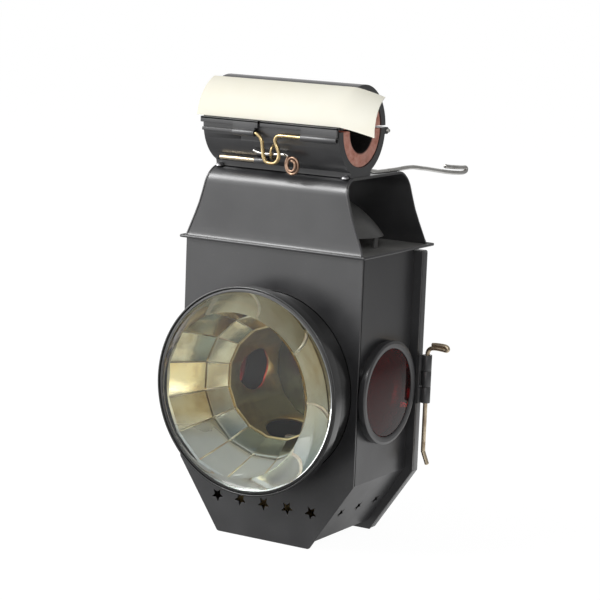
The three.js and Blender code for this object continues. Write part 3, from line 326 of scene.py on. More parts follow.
clear_glass = make_glass("clear_glass", (0.94, 0.97, 0.955), 0.05, 0.00025, 1.48)
red_glass = make_glass("red_glass", (0.42, 0.020, 0.020), 0.08, 0.0002, 1.36)
print("made", clear_glass.name, "and", red_glass.name)

# %% [markdown]
# ## Leather, paper and cotton
# Leather lines the clamp, so that it grips the hub without marking it. Its cut end shows
# the fibres, and its bore is black with painted shade, which the distance from the
# hub's axis picks out. The paper strip is matt and cream, and the wick is woven cotton.

# %% The leather
leather, tree, shader, where = new_finish("dry_leather")
worn_hide, bore_painted_shade = (0.86, 0.52, 0.44), (0.012, 0.009, 0.008)
hide = speckle(tree, where, 240, 6, 0.65)
blotch = speckle(tree, where, 80, 3)
colour = shades(tree, hide, (0.3, (0.62, 0.23, 0.16)), (0.5, (0.86, 0.40, 0.31)), (0.72, (0.95, 0.57, 0.47)))
colour = blend_colours(tree, spread(tree, blotch, 0.0, 0.45, 0.5, 0.7), colour, worn_hide)
# Painted shade: the leather goes black inside the bore, near the hub's axis.
bore_shade_amount = spread(tree, distance_out(tree, where, (0, 1, 1)), 1.0, 0.0, 0.0107, 0.0116)
colour = blend_colours(tree, bore_shade_amount, colour, bore_painted_shade)
dress(tree, shader, {"Base Color": colour, "Roughness": spread(tree, hide, 0.9, 0.62)})
pores = add(tree, "ShaderNodeTexVoronoi", {"Scale": 1300, "Vector": where}).outputs["Distance"]
relief(tree, shader, (hide, 0.6, 0.0004), (pores, 0.35, 0.0002))

# %% The paper
paper, tree, shader, where = new_finish("cream_paper")
fibre = speckle(tree, where, 700, 5, 0.7)
tone = speckle(tree, where, 30, 3)
brown_fibre = (0.76, 0.70, 0.55)
colour = shades(tree, tone, (0.3, (0.90, 0.865, 0.73)), (0.7, (0.93, 0.91, 0.80)))
colour = blend_colours(tree, spread(tree, fibre, 0.0, 0.25, 0.6, 0.8), colour, brown_fibre)
dress(tree, shader, {"Base Color": colour, "Roughness": spread(tree, fibre, 0.80, 0.62)})
relief(tree, shader, (fibre, 0.25, 0.0001))

# %% The cotton
cotton, tree, shader, where = new_finish("woven_cotton")
threads = {"Scale": 420, "Distortion": 3, "Vector": where}
weave = add(tree, "ShaderNodeTexWave", threads, wave_type="BANDS", bands_direction="Z").outputs["Fac"]
colour = shades(tree, weave, (0.2, (0.52, 0.46, 0.36)), (0.8, (0.78, 0.74, 0.64)))
dress(tree, shader, {"Base Color": colour, "Roughness": 0.9})
relief(tree, shader, (weave, 0.6, 0.0003))
print("made", leather.name, paper.name, cotton.name)

# %% [markdown]
# ## Ways to make a mesh
# Most of this lamp is sheet metal and wire, so four ways cover it. A profile is spun
# round an axis for a ring, an outline is drawn out along an axis for a bent plate, two
# grids of points make a thin sheet, and a circle is carried along a path for a wire.
# `build` turns the result into a piece that rides on its body and stands for its CAD node.

# %% The slot of each finish
slot_names = dict.fromkeys((japan, seat_black, dusty, deck_dust_and_painted_light, drum_black_painted_shade), "japan")
slot_names |= dict.fromkeys((clasp_brass, pin_brass, curl_copper, font_brass), "brass")
slot_names |= dict.fromkeys((bright_steel, solder), "steel")
slot_names |= dict.fromkeys((silvered, dull_tin, old_gold, joint_solder), "silvered")
slot_names |= {clear_glass: "clear_glass", red_glass: "red_glass"}
slot_names |= {leather: "leather", paper: "paper", cotton: "cotton"}
print("slots:", sorted(set(slot_names.values())))


# %% Turn points and faces into a piece
def build(name, shapes, finish, body, stands_for=(), sharp=38, edge=0.0, edge_steps=2):
    """One piece from shapes of points and faces in millimetres, with its edges rounded."""
    mesh = bpy.data.meshes.new(name)
    form = bmesh.new()
    for points, faces in shapes:
        made = [form.verts.new(place(*p)) for p in points]
        for face in faces:
            if len(set(face)) > 2:
                form.faces.new([made[i] for i in face])
    bmesh.ops.remove_doubles(form, verts=form.verts, dist=2e-6)
    bmesh.ops.recalc_face_normals(form, faces=form.faces)
    form.to_mesh(mesh)
    form.free()
    for face in mesh.polygons:
        face.use_smooth = True
    mesh.set_sharp_from_angle(angle=math.radians(sharp))
    piece = bpy.data.objects.new(name, mesh)
    bpy.context.scene.collection.objects.link(piece)
    mesh.materials.append(finish)
    if edge:
        round_edges(piece, edge, edge_steps)
    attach(piece, body)
    if stands_for:
        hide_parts(*stands_for)
    print(f"{name}: {len(mesh.vertices)} points, {len(mesh.polygons)} faces")
    return piece


# %% Soften edges, and keep CAD nodes
def round_edges(piece, width, steps=2, limit=30):
    """Rounds every edge sharper than the limit, by a width in millimetres."""
    bevel = piece.modifiers.new("rounded", "BEVEL")
    bevel.width = width / 1000
    bevel.segments = steps
    bevel.limit_method = "ANGLE"
    bevel.angle_limit = math.radians(limit)
    bevel.harden_normals = True


def keep(node, finish, edge):
    """A CAD node whose form is right: it gets its finish and softened edges."""
    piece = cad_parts[node]
    if not piece.data.materials:
        piece.data.materials.append(finish)
    for index in range(len(piece.data.materials)):
        piece.data.materials[index] = finish
    if edge:
        round_edges(piece, edge)
    print("kept", node)


# %% Rounding the corners of an outline
def rounded(loop, radius, steps=4):
    """The same outline with each corner rounded; radius is one number, or one per corner."""
    count = len(loop)
    radii = radius if isinstance(radius, (list, tuple)) else [radius] * count
    result = []
    for i, (spot, bend) in enumerate(zip(loop, radii)):
        here = Vector(spot)
        if bend <= 0:
            result.append(tuple(here))
            continue
        before = Vector(loop[i - 1]) - here
        after = Vector(loop[(i + 1) % count]) - here
        turn = before.angle(after)
        if turn < 1e-3 or turn > math.pi - 1e-3:
            result.append(tuple(here))
            continue
        reach = min(bend / math.tan(turn / 2), before.length * 0.48, after.length * 0.48)
        start, end = here + before.normalized() * reach, here + after.normalized() * reach
        for k in range(steps + 1):
            t = k / steps
            result.append(tuple(start * (1 - t) ** 2 + here * 2 * t * (1 - t) + end * t * t))
    return result


# %% Faces between rings, and spinning
def skin(rings, looped=False, round_rings=True):
    """Faces between rings of points: looped joins last to first, round joins a ring's ends."""
    count = len(rings[0])
    faces = []
    for r in range(len(rings) if looped else len(rings) - 1):
        a, b = r * count, ((r + 1) % len(rings)) * count
        for i in range(count if round_rings else count - 1):
            j = (i + 1) % count
            faces.append([a + i, a + j, b + j, b + i])
    return [tuple(point) for ring in rings for point in ring], faces


def spun(profile, centre, axis="Y", steps=144, closed=True):
    """A profile of radius and place along the axis, spun all the way round."""
    rings = []
    for s in range(steps):
        angle = 2 * math.pi * s / steps
        ring = []
        for radius, along in profile:
            u, v = centre[0] + radius * math.cos(angle), centre[1] + radius * math.sin(angle)
            ring.append({"X": (along, u, v), "Y": (u, along, v), "Z": (u, v, along)}[axis])
        rings.append(ring)
    return skin(rings, looped=True, round_rings=closed)


# %% Outlines drawn out along an axis
def drawn(outline, low, high, axis="X"):
    """A flat outline drawn out from low to high: (y, z) along X, or (x, y) along Z."""
    def at(spot, along):
        a, b = spot
        return (along, a, b) if axis == "X" else (a, b, along)
    count = len(outline)
    points, sides = skin([[at(p, low) for p in outline], [at(p, high) for p in outline]])
    return points, [list(range(count)), list(range(2 * count - 1, count - 1, -1))] + sides


def arc(centre, radius, start, end, steps):
    """Points on a circle from one angle to another, in degrees."""
    spots = []
    for k in range(steps + 1):
        angle = math.radians(start + (end - start) * k / steps)
        spots.append((centre[0] + radius * math.cos(angle), centre[1] + radius * math.sin(angle)))
    return spots


# %% Sheets between two grids of points
def slab(outer, inner, row):
    """A thin sheet between two grids of points, listed row by row, with closed edges."""
    count, lines = len(outer), len(outer) // row
    faces = []
    for i in range(lines - 1):
        for a in range(i * row, i * row + row - 1):
            b = a + row
            faces.append([a, a + 1, b + 1, b])
            faces.append([count + a, count + b, count + b + 1, count + a + 1])
    rim = [i * row for i in range(lines)] + list(range(count - row + 1, count))
    rim += [i * row + row - 1 for i in range(lines - 2, -1, -1)] + list(range(row - 2, 0, -1))
    for a, b in zip(rim, rim[1:] + rim[:1]):
        faces.append([a, b, count + b, count + a])
    return outer + inner, faces


# %% Wires along a path
def headings(path):
    """The direction in which a path runs at each of its points."""
    spots = [Vector(p) for p in path]
    last = len(spots) - 1
    return [(spots[min(i + 1, last)] - spots[max(i - 1, 0)]).normalized() for i in range(last + 1)]


def follow(points, per_span, tightness=0.5):
    """A smooth path through the points."""
    spots = [Vector(p) for p in points]
    spots = [spots[0] * 2 - spots[1]] + spots + [spots[-1] * 2 - spots[-2]]
    path = []
    for i in range(1, len(spots) - 2):
        p0, p1, p2, p3 = spots[i - 1:i + 3]
        m1, m2 = (p2 - p0) * tightness, (p3 - p1) * tightness
        for k in range(per_span):
            t = k / per_span
            path.append(p1 * (2 * t**3 - 3 * t**2 + 1) + m1 * (t**3 - 2 * t**2 + t)
                        + p2 * (3 * t**2 - 2 * t**3) + m2 * (t**3 - t**2))
    path.append(spots[-2])
    return path


# %% A wire round its path
def wire(points, radius, sides=16, per_span=8, caps=(1.0, 1.0), smooth=True):
    """A round wire along a path, each end domed; a cap of 0.3 is a nearly flat cut."""
    path = follow(points, per_span) if smooth else [Vector(p) for p in points]
    heading = headings(path)
    side = heading[0].orthogonal().normalized()
    turns = [2 * math.pi * k / sides for k in range(sides)]
    rings = []
    for i, (spot, ahead) in enumerate(zip(path, heading)):
        if i:
            side = heading[i - 1].rotation_difference(ahead) @ side
        side = (side - ahead * side.dot(ahead)).normalized()
        other = ahead.cross(side)
        dome = [(0.0, 1.0)]
        if i in (0, len(path) - 1):
            cap = caps[0] if i == 0 else caps[1]
            dome = [(cap * math.sin(a), math.cos(a)) for a in (0.0, 0.45, 0.9, 1.25)]
            if i == 0:
                dome = [(-h, w) for h, w in reversed(dome)]
        for shift, width in dome:
            middle, out = spot + ahead * radius * shift, radius * width
            rings.append([middle + (side * math.cos(t) + other * math.sin(t)) * out for t in turns])
    skin_points, faces = skin(rings)
    ends = [list(range(sides)), list(range(len(skin_points) - sides, len(skin_points)))]
    return skin_points, ends + faces


print("mesh helpers are ready")

# %% [markdown]
# ## Flat sheets with holes
# The front plate is a flat sheet with a round hole, five star vents and rounded lower
# corners. A filled 2D curve is the quickest way to such a sheet: every spline inside the
# outline becomes a hole, and the curve's own bevel rounds all the cut edges at once. A
# hand punch leaves each star leaning its own way. The plate's folded sides stand a little
# back from its edge, so a dark seam runs down the front corners, as on the real case.

# %% Cut a sheet from outlines
def finished_mesh(thing):
    """The mesh of an object after its curve or its modifiers have done their work."""
    bpy.context.view_layer.update()
    return bpy.data.meshes.new_from_object(thing.evaluated_get(bpy.context.evaluated_depsgraph_get()))


def cut_sheet(outlines, thickness, edge=0.12):
    """Points and faces of a flat sheet in x and z, centred on y = 0, with holes."""
    drawing = bpy.data.curves.new("drawing", "CURVE")
    drawing.dimensions = "2D"
    drawing.fill_mode = "BOTH"
    drawing.extrude = thickness / 2 - edge
    drawing.bevel_depth = edge
    drawing.bevel_resolution = 1
    drawing.offset = -edge
    for outline in outlines:
        line = drawing.splines.new("POLY")
        line.points.add(len(outline) - 1)
        for point, (x, z) in zip(line.points, outline):
            point.co = (x, z, 0, 1)
        line.use_cyclic_u = True
    holder = bpy.data.objects.new("drawing", drawing)
    bpy.context.scene.collection.objects.link(holder)
    mesh = finished_mesh(holder)
    points = [(v.co.x, v.co.z, v.co.y) for v in mesh.vertices]
    faces = [list(p.vertices) for p in mesh.polygons]
    bpy.data.objects.remove(holder)
    bpy.data.curves.remove(drawing)
    bpy.data.meshes.remove(mesh)
    return points, faces


# %% Moving, tipping and mirroring
def set_back(sheet, y):
    """The same sheet, moved to the rear."""
    points, faces = sheet
    return [(p[0], p[1] + y, p[2]) for p in points], faces


def laid_level(sheet, height):
    """The same sheet, tipped over so that it lies level, its middle at a height."""
    points, faces = sheet
    return [(x, z, y + height) for x, y, z in points], faces


def mirrored(shape):
    """The same shape on the other side of the lamp."""
    points, faces = shape
    return [(-p[0], p[1], p[2]) for p in points], [list(reversed(f)) for f in faces]


# %% A star vent
def star(centre, size=3.5, waist=0.46, lean=0.0):
    """A five-pointed vent that stands on one point; a hand punch leaves it leaning a little."""
    spots = []
    for i in range(10):
        reach = size if i % 2 == 0 else size * waist
        angle = math.pi * i / 5 - math.pi / 2 + math.radians(lean)
        spots.append((centre[0] + reach * math.cos(angle), centre[1] + reach * math.sin(angle)))
    return spots


# %% The front plate
body_half, body_top, chamfer_top, foot_half = 50.0, 144.2, 34.4, 26.5
lens_middle = 77.0
outline = rounded([(-body_half, body_top), (-body_half, chamfer_top), (-foot_half, 0), (foot_half, 0),
                   (body_half, chamfer_top), (body_half, body_top)], [0, 1.2, 1.8, 1.8, 1.2, 0], 6)
hole = arc((0, lens_middle), 46.8, 0, 360 - 2.5, 143)
star_places = ((-27.0, 7), (-13.5, -6), (0.0, 3), (13.5, 9), (27.0, -4))
vents = [star((aside, 18.2), lean=lean) for aside, lean in star_places]
face = set_back(cut_sheet([outline, hole, *vents], 1.0), 0.5)
fold = rounded([(48.3, 0.8), (49.1, 0.8), (49.1, 3.3), (48.3, 3.3)], 0.25, 2)
right_fold = drawn(fold, chamfer_top, body_top, "Z")
build("case_front", [face, right_fold, mirrored(right_fold)], japan, "lamp", ["front_plate"], sharp=15)

# %% [markdown]
# ## Panels kept from the CAD
# The side panels, the bottom and the rear frame are plain bent sheets, and their CAD
# forms are right. They only need softened edges and the finish. Building them again
# would add nothing that shows.

# %% The kept panels
for node, edge in (("right_side_panel", 0.25), ("left_side_panel", 0.25),
                   ("bottom_plate", 0.2), ("rear_frame", 0.3)):
    keep(node, japan, edge)

# %% [markdown]
# ## The front lens, its drum and its bezel
# A sheet drum stands out from the case, a turned ring with a rolled bead closes it, and
# the thick bevelled glass sits in that ring. All are round, so each is a profile spun
# about the lens axis. The bead's rounding is what draws the thin bright circle round the
# glass. Between bead and glass lies a dull black seat with a fine groove round it, and
# without it the glass's own side would shine as a white crescent.

# %% The drum
drum = rounded([(45.7, -14.5), (46.5, -14.5), (46.5, 1.1), (48.0, 1.1), (48.0, 1.9),
                (43.5, 1.9), (43.5, 1.1), (45.7, 1.1)], 0.15, 2)
# Painted shade: the drum takes the blacker japan.
build("lens_drum_skin", [spun(drum, (0, lens_middle))], drum_black_painted_shade, "lamp", ["lens_drum"])

# %% The bezel
# Painted shade: the bezel takes the blacker japan too.
bezel = rounded([(44.9, -14.6), (49.6, -14.6), (50.6, -15.1), (50.6, -20.6), (49.6, -20.6),
                 (49.6, -15.3), (44.9, -15.1)], [0.1, 0.3, 0.3, 0.45, 0.45, 0.1, 0.1], 5)
build("lens_bezel_ring", [spun(bezel, (0, lens_middle), steps=192)], drum_black_painted_shade, "lamp", ["lens_bezel"])

# %% The black seat round the glass
seat = rounded([(48.25, -15.4), (49.4, -15.4), (49.4, -20.1), (48.25, -20.5)], 0.1, 2)
build("glass_seat", [spun(seat, (0, lens_middle), steps=192)], seat_black, "lamp")

# %% The front glass
lens_profile = [(0.0, -15.5), (47.8, -15.5), (48.05, -15.8), (48.05, -20.8), (47.95, -21.05)]
lens_profile += [(40.6, -29.55), (39.7, -30.4)]
dome_radius, dome_foot, dome_rise = 40.0, -30.3, 3.0
for k in range(1, 13):
    share = 1 - k / 12
    lens_profile.append((dome_radius * share, dome_foot - dome_rise * (1 - share * share)))
front_glass = spun(lens_profile, (0, lens_middle), steps=192, closed=False)
build("front_glass", [front_glass], clear_glass, "lamp", ["front_lens"], sharp=20)

# %% [markdown]
# ## The faceted reflector
# The bowl behind the lens is soldered up from flat strips in two bands, and a deeper cone
# with a flat back disc closes it behind them. The photograph shows the joints as thin
# bright lines, and a dark middle where the flame stands. Flat facets with sharp sides
# give the broken mirror images, and a fine bead on each joint gives the lines. The
# openings for the side lenses and for the flame are cut with a boolean, because they
# cross several strips.

# %% The reflector's strips
facets = 16
strip_wall = 0.8
band_rings = [(45.0, -14.0), (34.4, 4.4), (27.2, 12.4), (24.0, 42.5)]


def facet_band(near, far):
    """One band of flat strips between two rings of radius and depth."""
    turns = [2 * math.pi * (s + 0.5) / facets for s in range(facets)]
    inner_far, inner_near = (far[0] - strip_wall, far[1] - strip_wall), (near[0] - 2 * strip_wall, near[1])
    rings = []
    for radius, along in (near, far, inner_far, inner_near):
        rings.append([(radius * math.cos(t), along, lens_middle + radius * math.sin(t)) for t in turns])
    return skin(rings, looped=True)


# %% The bowl, its rear cone and its back
front_bands = [facet_band(band_rings[0], band_rings[1]), facet_band(band_rings[1], band_rings[2])]
bowl = build("reflector_bowl", front_bands, silvered, "lamp", ["reflector"], sharp=5)
rear_bowl = build("reflector_rear", [facet_band(band_rings[2], band_rings[3])], old_gold, "lamp", sharp=5)
back_disc = rounded([(0.0, 41.9), (23.4, 41.9), (23.4, 42.5), (0.0, 42.5)], [0, 0.1, 0.1, 0], 2)
back = spun(back_disc, (0, lens_middle), closed=False, steps=64)
build("reflector_back", [back], dull_tin, "lamp", sharp=30)

# %% The openings in the bowl
def cut_away(piece, number, shape):
    """Cuts a shape out of a piece."""
    tool = build(f"cutter_{number}", [shape], dull_tin, "lamp")
    cut = piece.modifiers.new("opening", "BOOLEAN")
    cut.operation = "DIFFERENCE"
    cut.solver = "EXACT"
    cut.object = tool
    shaped = finished_mesh(piece)
    piece.modifiers.clear()
    piece.data = shaped
    bpy.data.objects.remove(tool)


side_way = spun([(9.05, -48.0), (9.05, 48.0), (0.0, 48.0), (0.0, -48.0)], (27.45, lens_middle), "X", 64)
flue_way = spun([(13.0, 30.0), (13.0, 140.0), (0.0, 140.0), (0.0, 30.0)], (0.0, 26.0), "Z", 48)
cut_away(bowl, 0, flue_way)
cut_away(rear_bowl, 1, flue_way)
cut_away(rear_bowl, 2, side_way)
print("faces with the openings cut:", len(bowl.data.polygons), "and", len(rear_bowl.data.polygons))

# %% The soldered joints
def joint_bead(near, far, s, radius=0.5):
    """The soldered joint between two strips."""
    angle = 2 * math.pi * (s + 0.5) / facets
    ends = []
    for (ring, along), inward in ((near, 1.75), (far, 0.95)):
        reach = ring - inward
        ends.append((reach * math.cos(angle), along + 0.1, lens_middle + reach * math.sin(angle)))
    return wire(ends, radius, 6, 1, smooth=False, caps=(0.3, 0.3))


open_strips = (3, 4, 11, 12)
joints = [joint_bead(band_rings[0], band_rings[1], s) for s in range(facets)]
joints += [joint_bead(band_rings[1], band_rings[2], s) for s in range(facets) if s not in open_strips]
build("reflector_joints", joints, joint_solder, "lamp", sharp=60)

# %% [markdown]
# ## The side lenses
# A small red lens shows on each side, in a collar through the panel and under a ring
# with a rolled bead. The ring, the glass and a tin tube behind it are spun about the side
# lens's own axis, and the left ones are the mirror of the right. The collar and the inner
# ring hardly show, so their CAD forms stay.

# %% Side rings, glasses and inner tubes
side_axis = (25.5, lens_middle)
ring_profile = rounded([(21.5, 50.2), (24.5, 50.2), (25.2, 50.6), (25.2, 53.4), (23.9, 53.65),
                        (22.2, 53.45), (21.5, 53.05)], [0.1, 0.2, 0.2, 0.35, 0.5, 0.4, 0.2], 4)
glass_profile = [(0.0, 47.7), (21.2, 47.7), (21.4, 48.1), (21.4, 52.6), (21.1, 52.85)]
for k in range(1, 9):
    share = 1 - k / 8
    glass_profile.append((21.1 * share, 52.85 + 0.75 * (1 - share ** 2)))
tube_profile = rounded([(20.6, 40.4), (21.4, 40.4), (21.4, 45.4), (20.6, 45.4)], 0.15, 2)
tube = spun(tube_profile, side_axis, "X", 96)
ring = spun(ring_profile, side_axis, "X", 128)
glass = spun(glass_profile, side_axis, "X", 128, closed=False)
for side, turn in (("right", lambda s: s), ("left", mirrored)):
    build(f"{side}_ring", [turn(ring)], japan, "lamp", [f"{side}_lens_bezel"])
    build(f"{side}_glass", [turn(glass)], red_glass, "lamp", [f"{side}_lens"], sharp=20)
    build(f"{side}_inner_tube", [turn(tube)], dull_tin, "lamp")
    keep(f"{side}_lens_collar", japan, 0.0)
    keep(f"{side}_lens_ring", japan, 0.0)

# %% [markdown]
# ## Inside the case
# The oil font, the burner and the wick show only faintly behind the lens, and fully when
# the door is open. Their CAD forms are right, so they get worn brass, cotton and
# softened edges.

# %% Font, burner and wick
keep("wick", cotton, 0.15)
for node, edge in (("oil_font", 0.35), ("filler_cap", 0.2), ("burner", 0.2), ("wick_winder", 0.15)):
    keep(node, font_brass, edge)

# %% [markdown]
# ## The deck and the hood
# The case is closed by a flat deck whose edge is rolled over a wire, which gives the
# long bright line under the hood. Rim and plate are two pieces here, because the plate is
# dusty and lightened further as painted light, while the rim is wiped. On the deck stands
# the hood, one sheet bent over front, top and rear and open at both sides, with hems on its
# cut edges. The sheet is drawn as a grid that follows the bent profile, each row as wide as
# the flare is at that height.

# %% The deck with its rolled edge
deck_low, deck_top = 144.3, 145.4
left, right, near, far = -52.5, 52.5, -2.9, 65.4
roll_wide, roll_high, roll_sides = 0.45, 0.7, 14
draught_y, draught_radius = 30.0, 15.0


def deck_corners(inset):
    """The deck's four corners, moved in."""
    return [(left + inset, near + inset), (right - inset, near + inset),
            (right - inset, far - inset), (left + inset, far - inset)]


corners = rounded(deck_corners(roll_wide), 0.4, 3)
rim_rings = []
for index, (x, y) in enumerate(corners):
    before, after = Vector(corners[index - 1]), Vector(corners[(index + 1) % len(corners)])
    along = (after - before).normalized()
    out = Vector((along.y, -along.x))
    ring = []
    for k in range(roll_sides):
        angle = 2 * math.pi * k / roll_sides
        shift = out * roll_wide * math.cos(angle)
        ring.append((x + shift.x, y + shift.y, deck_low + roll_high + roll_high * math.sin(angle)))
    rim_rings.append(ring)
plate = cut_sheet([deck_corners(0.5), arc((0, draught_y), draught_radius, 0, 354, 59)], 1.0, 0.1)
build("deck_rim", [skin(rim_rings, looped=True)], japan, "lamp")
# The deck plate's grey is dust and painted light.
build("deck_plate", [laid_level(plate, deck_low + 0.5)], deck_dust_and_painted_light, "lamp", ["roof_deck"], sharp=32)

# %% The hood's flare and its bend
hood_top, hood_depth, shoulder, shoulder_z = 180.3, 60.5, 8.0, 172.3
flank_widths = [(145.4, 50.1), (147, 49.6), (150, 48.4), (155, 46.3), (160, 44.2), (165, 42.6),
                (170, 41.2), (174, 40.1), (178, 39.1), (180.3, 38.7)]


def hood_half_width(z):
    """Half the hood's width at a height, read from the measured flare."""
    for (z0, w0), (z1, w1) in zip(flank_widths, flank_widths[1:]):
        if z <= z1:
            return w0 + (w1 - w0) * max(0.0, z - z0) / (z1 - z0)
    return flank_widths[-1][1]


quarter = [math.radians(degrees) for degrees in range(0, 91, 9)]
bend = [(-1.3, 145.4), (-0.95, 145.8), (-0.7, 146.4), (-0.5, 147.6), (-0.38, 151.0),
        (-0.22, 156.0), (-0.1, 162.0), (0.0, 168.0)]
bend += [(shoulder - shoulder * math.cos(a), shoulder_z + shoulder * math.sin(a)) for a in quarter]
bend += [(16.0 + 7.3 * k, hood_top) for k in range(6)]
rear_bend = hood_depth - shoulder
bend += [(rear_bend + shoulder * math.sin(a), shoulder_z + shoulder * math.cos(a)) for a in quarter]
bend += [(60.5, 168.0), (60.55, 162.0), (60.8, 156.0), (61.0, 151.0), (61.15, 148.2),
         (61.4, 146.9), (61.7, 146.0), (61.9, 145.4)]


# %% The hood
def bent_sheet(profile, half_width, wall, columns=40):
    """A sheet that follows a (y, z) profile; its inner face lies a wall's thickness in."""
    outer, inner = [], []
    for (y, z), ahead in zip(profile, headings(profile)):
        half = half_width(z)
        for c in range(columns + 1):
            x = -half + 2 * half * c / columns
            outer.append((x, y, z))
            inner.append((x, y + ahead.y * wall, z - ahead.x * wall))
    return slab(outer, inner, columns + 1)


def hem(profile, half_width, wall, radius):
    """The folded edge of the sheet on the right side."""
    path = []
    for (y, z), ahead in zip(profile, headings(profile)):
        path.append((half_width(z) - radius, y + ahead.y * wall * 0.3, z - ahead.x * wall * 0.3))
    return wire(path, radius, 10, smooth=False, caps=(0.3, 0.3))


hood_wall = 0.9
hood_hem = hem(bend, hood_half_width, hood_wall, 0.6)
hood_sheet = bent_sheet(bend, hood_half_width, hood_wall)
build("hood", [hood_sheet, hood_hem, mirrored(hood_hem)], japan, "lamp", ["roof_cowl"], sharp=50)

# %% The form of the smoke cap
cap_half_x, cap_half_y, cap_y = 41.0, 26.0, draught_y
cap_rise, cap_rim_z, cap_wall = 20.0, 150.7, 0.8
cap_sides = 96
cap_turns = [2 * math.pi * s / cap_sides for s in range(cap_sides)]
rim_angle = math.radians(35)
cap_rings = []
for k in range(25):
    angle = rim_angle + (math.pi / 2 - rim_angle) * k / 24
    cap_rings.append((math.cos(angle) / math.cos(rim_angle),
                      (math.sin(angle) - math.sin(rim_angle)) / (1 - math.sin(rim_angle))))


def oval(half_x, half_y, z):
    """A level ring of the cap."""
    return [(half_x * math.cos(t), cap_y + half_y * math.sin(t), z) for t in cap_turns]


def cap_dome(inset):
    """The rings of the cap, from its rim to its crown; the inset gives its underside."""
    return [oval((cap_half_x - inset) * out, (cap_half_y - inset) * out, cap_rim_z + (cap_rise - inset) * up)
            for out, up in cap_rings]


# %% The cap over the smoke hole
layers = cap_dome(0.0) + list(reversed(cap_dome(cap_wall)))
cap_points, cap_faces = skin(layers, looped=True)
between_crowns = (len(cap_rings) - 1) * cap_sides
del cap_faces[between_crowns:between_crowns + cap_sides]
rim_path = oval(cap_half_x - 0.5, cap_half_y - 0.5, cap_rim_z + 0.25)
rim_path.append(rim_path[0])
feet = []
for x, y in ((39.1, 0.0), (-39.1, 0.0), (0.0, 24.1), (0.0, -24.1)):
    wide, deep = (0.5, 1.6) if x else (1.6, 0.5)
    foot = [(x + i * wide, cap_y + y + j * deep) for i, j in ((-1, -1), (1, -1), (1, 1), (-1, 1))]
    feet.append(drawn(foot, deck_top, cap_rim_z + 0.7, "Z"))
cap_shapes = [(cap_points, cap_faces), wire(rim_path, 0.35, 8, smooth=False), *feet]
build("oval_smoke_cap", cap_shapes, dusty, "lamp", ["smoke_cap"], sharp=50)

# %% [markdown]
# ## The hub clamp
# Two half shells hold the hub. The lower one has a saddle that is soldered to the hood,
# and both carry rolled barrels for the pins. Each shell is its end outline drawn out
# along the clamp. The outline is cut at the split, so the gap between the halves is
# real, and light shows through it. A short narrow mark is sunk in the lower shell's front.

# %% The clamp's measures
axis_y, axis_z = hub_behind_front, hub_height
clamp_middle = (axis_y, axis_z)
shell, wall, half_long = 21.6, 4.0, 38.0
split_low, split_high = 0.2, 1.3
cut_low = math.degrees(math.asin(split_low / shell))


def saddle_outline():
    """The lower half's end: the outside with its saddle, then back along the bore."""
    inner_cut = math.degrees(math.asin(split_low / (shell - wall)))
    outside = arc(clamp_middle, shell, 180 - cut_low, 243, 20)
    outside += [(axis_y - 9.5, 183.2), (axis_y - 9.3, 182.2), (axis_y - 9.1, 181.4), (axis_y - 9.0, 180.5)]
    outside += [(axis_y + 9.0, 180.5), (axis_y + 9.1, 181.4), (axis_y + 9.3, 182.2), (axis_y + 9.5, 183.2)]
    outside += arc(clamp_middle, shell, 297, 360 + cut_low, 20)
    inside = arc(clamp_middle, shell - wall, 360 + inner_cut, 180 - inner_cut, 40)
    return outside + inside


front_pin = (-8.0, 199.1)
rear_pin = (38.9, 201.3)


def barrel(pin, low, high, radius=1.7, bore=1.0):
    """A rolled barrel along X, with its bore."""
    loop = rounded([(bore, low), (radius, low), (radius, high), (bore, high)], 0.2, 2)
    return spun(loop, pin, "X", 32)


def strip(y0, z0, y1, z1, low, high, edge=0.2):
    """A flat strap along X between two corners."""
    return drawn(rounded([(y0, z0), (y1, z0), (y1, z1), (y0, z1)], edge, 2), low, high, "X")


# %% The lower shell
lower = [drawn(saddle_outline(), -half_long, half_long, "X"), barrel(front_pin, -half_long, -19.6),
         strip(-7.3, 198.3, -3.6, 199.9, -half_long, -19.6)]
for low, high in ((-half_long, -23.0), (-7.5, 7.5), (23.0, half_long)):
    lower += [barrel(rear_pin, low, high), strip(34.0, 200.6, 38.0, 202.4, low, high)]
lower_half = build("clamp_lower_half", lower, japan, "lamp", ["lower_clamp"], sharp=30, edge=0.18)
slot = drawn([(-8.0, 191.5), (-4.8, 191.5), (-4.8, 197.0), (-8.0, 197.0)], -17.4, -16.7, "X")
cut_away(lower_half, 3, slot)

# %% The upper shell with its front strip
cut_high = math.degrees(math.asin(split_high / shell))
inner_high = math.degrees(math.asin(split_high / (shell - wall)))
upper_outline = arc(clamp_middle, shell, cut_high, 180 - cut_high, 60)
upper_outline += arc(clamp_middle, shell - wall, 180 - inner_high, inner_high, 48)
strip_front, strip_back, strip_top = -8.7, -7.3, 205.0
upper = [drawn(upper_outline, -half_long, half_long, "X")]
for low, high in ((-half_long, -5.6), (-4.3, half_long)):
    upper.append(strip(strip_front, 204.0, -4.9, strip_top, low, high))
for foot_z, low, high in ((202.3, -half_long, -19.3), (199.9, -19.3, -7.2), (201.6, -7.2, -5.6),
                          (202.5, -4.3, 18.5), (199.9, 18.5, half_long)):
    upper.append(strip(strip_front, foot_z, strip_back, strip_top, low, high))
upper += [barrel(front_pin, -19.3, -7.2), barrel(front_pin, 18.5, half_long)]
for low, high in ((-22.7, -7.8), (7.8, 22.7)):
    upper += [barrel(rear_pin, low, high), strip(38.2, 202.6, 39.6, strip_top, low, high),
              strip(34.9, 204.0, 39.6, strip_top, low, high)]
build("clamp_upper_half", upper, japan, "clamp_top", ["upper_clamp"], sharp=30, edge=0.15)
rear_wire = wire([(-39.0, *rear_pin), (39.0, *rear_pin)], 0.9, 20, smooth=False, caps=(0.3, 0.3))
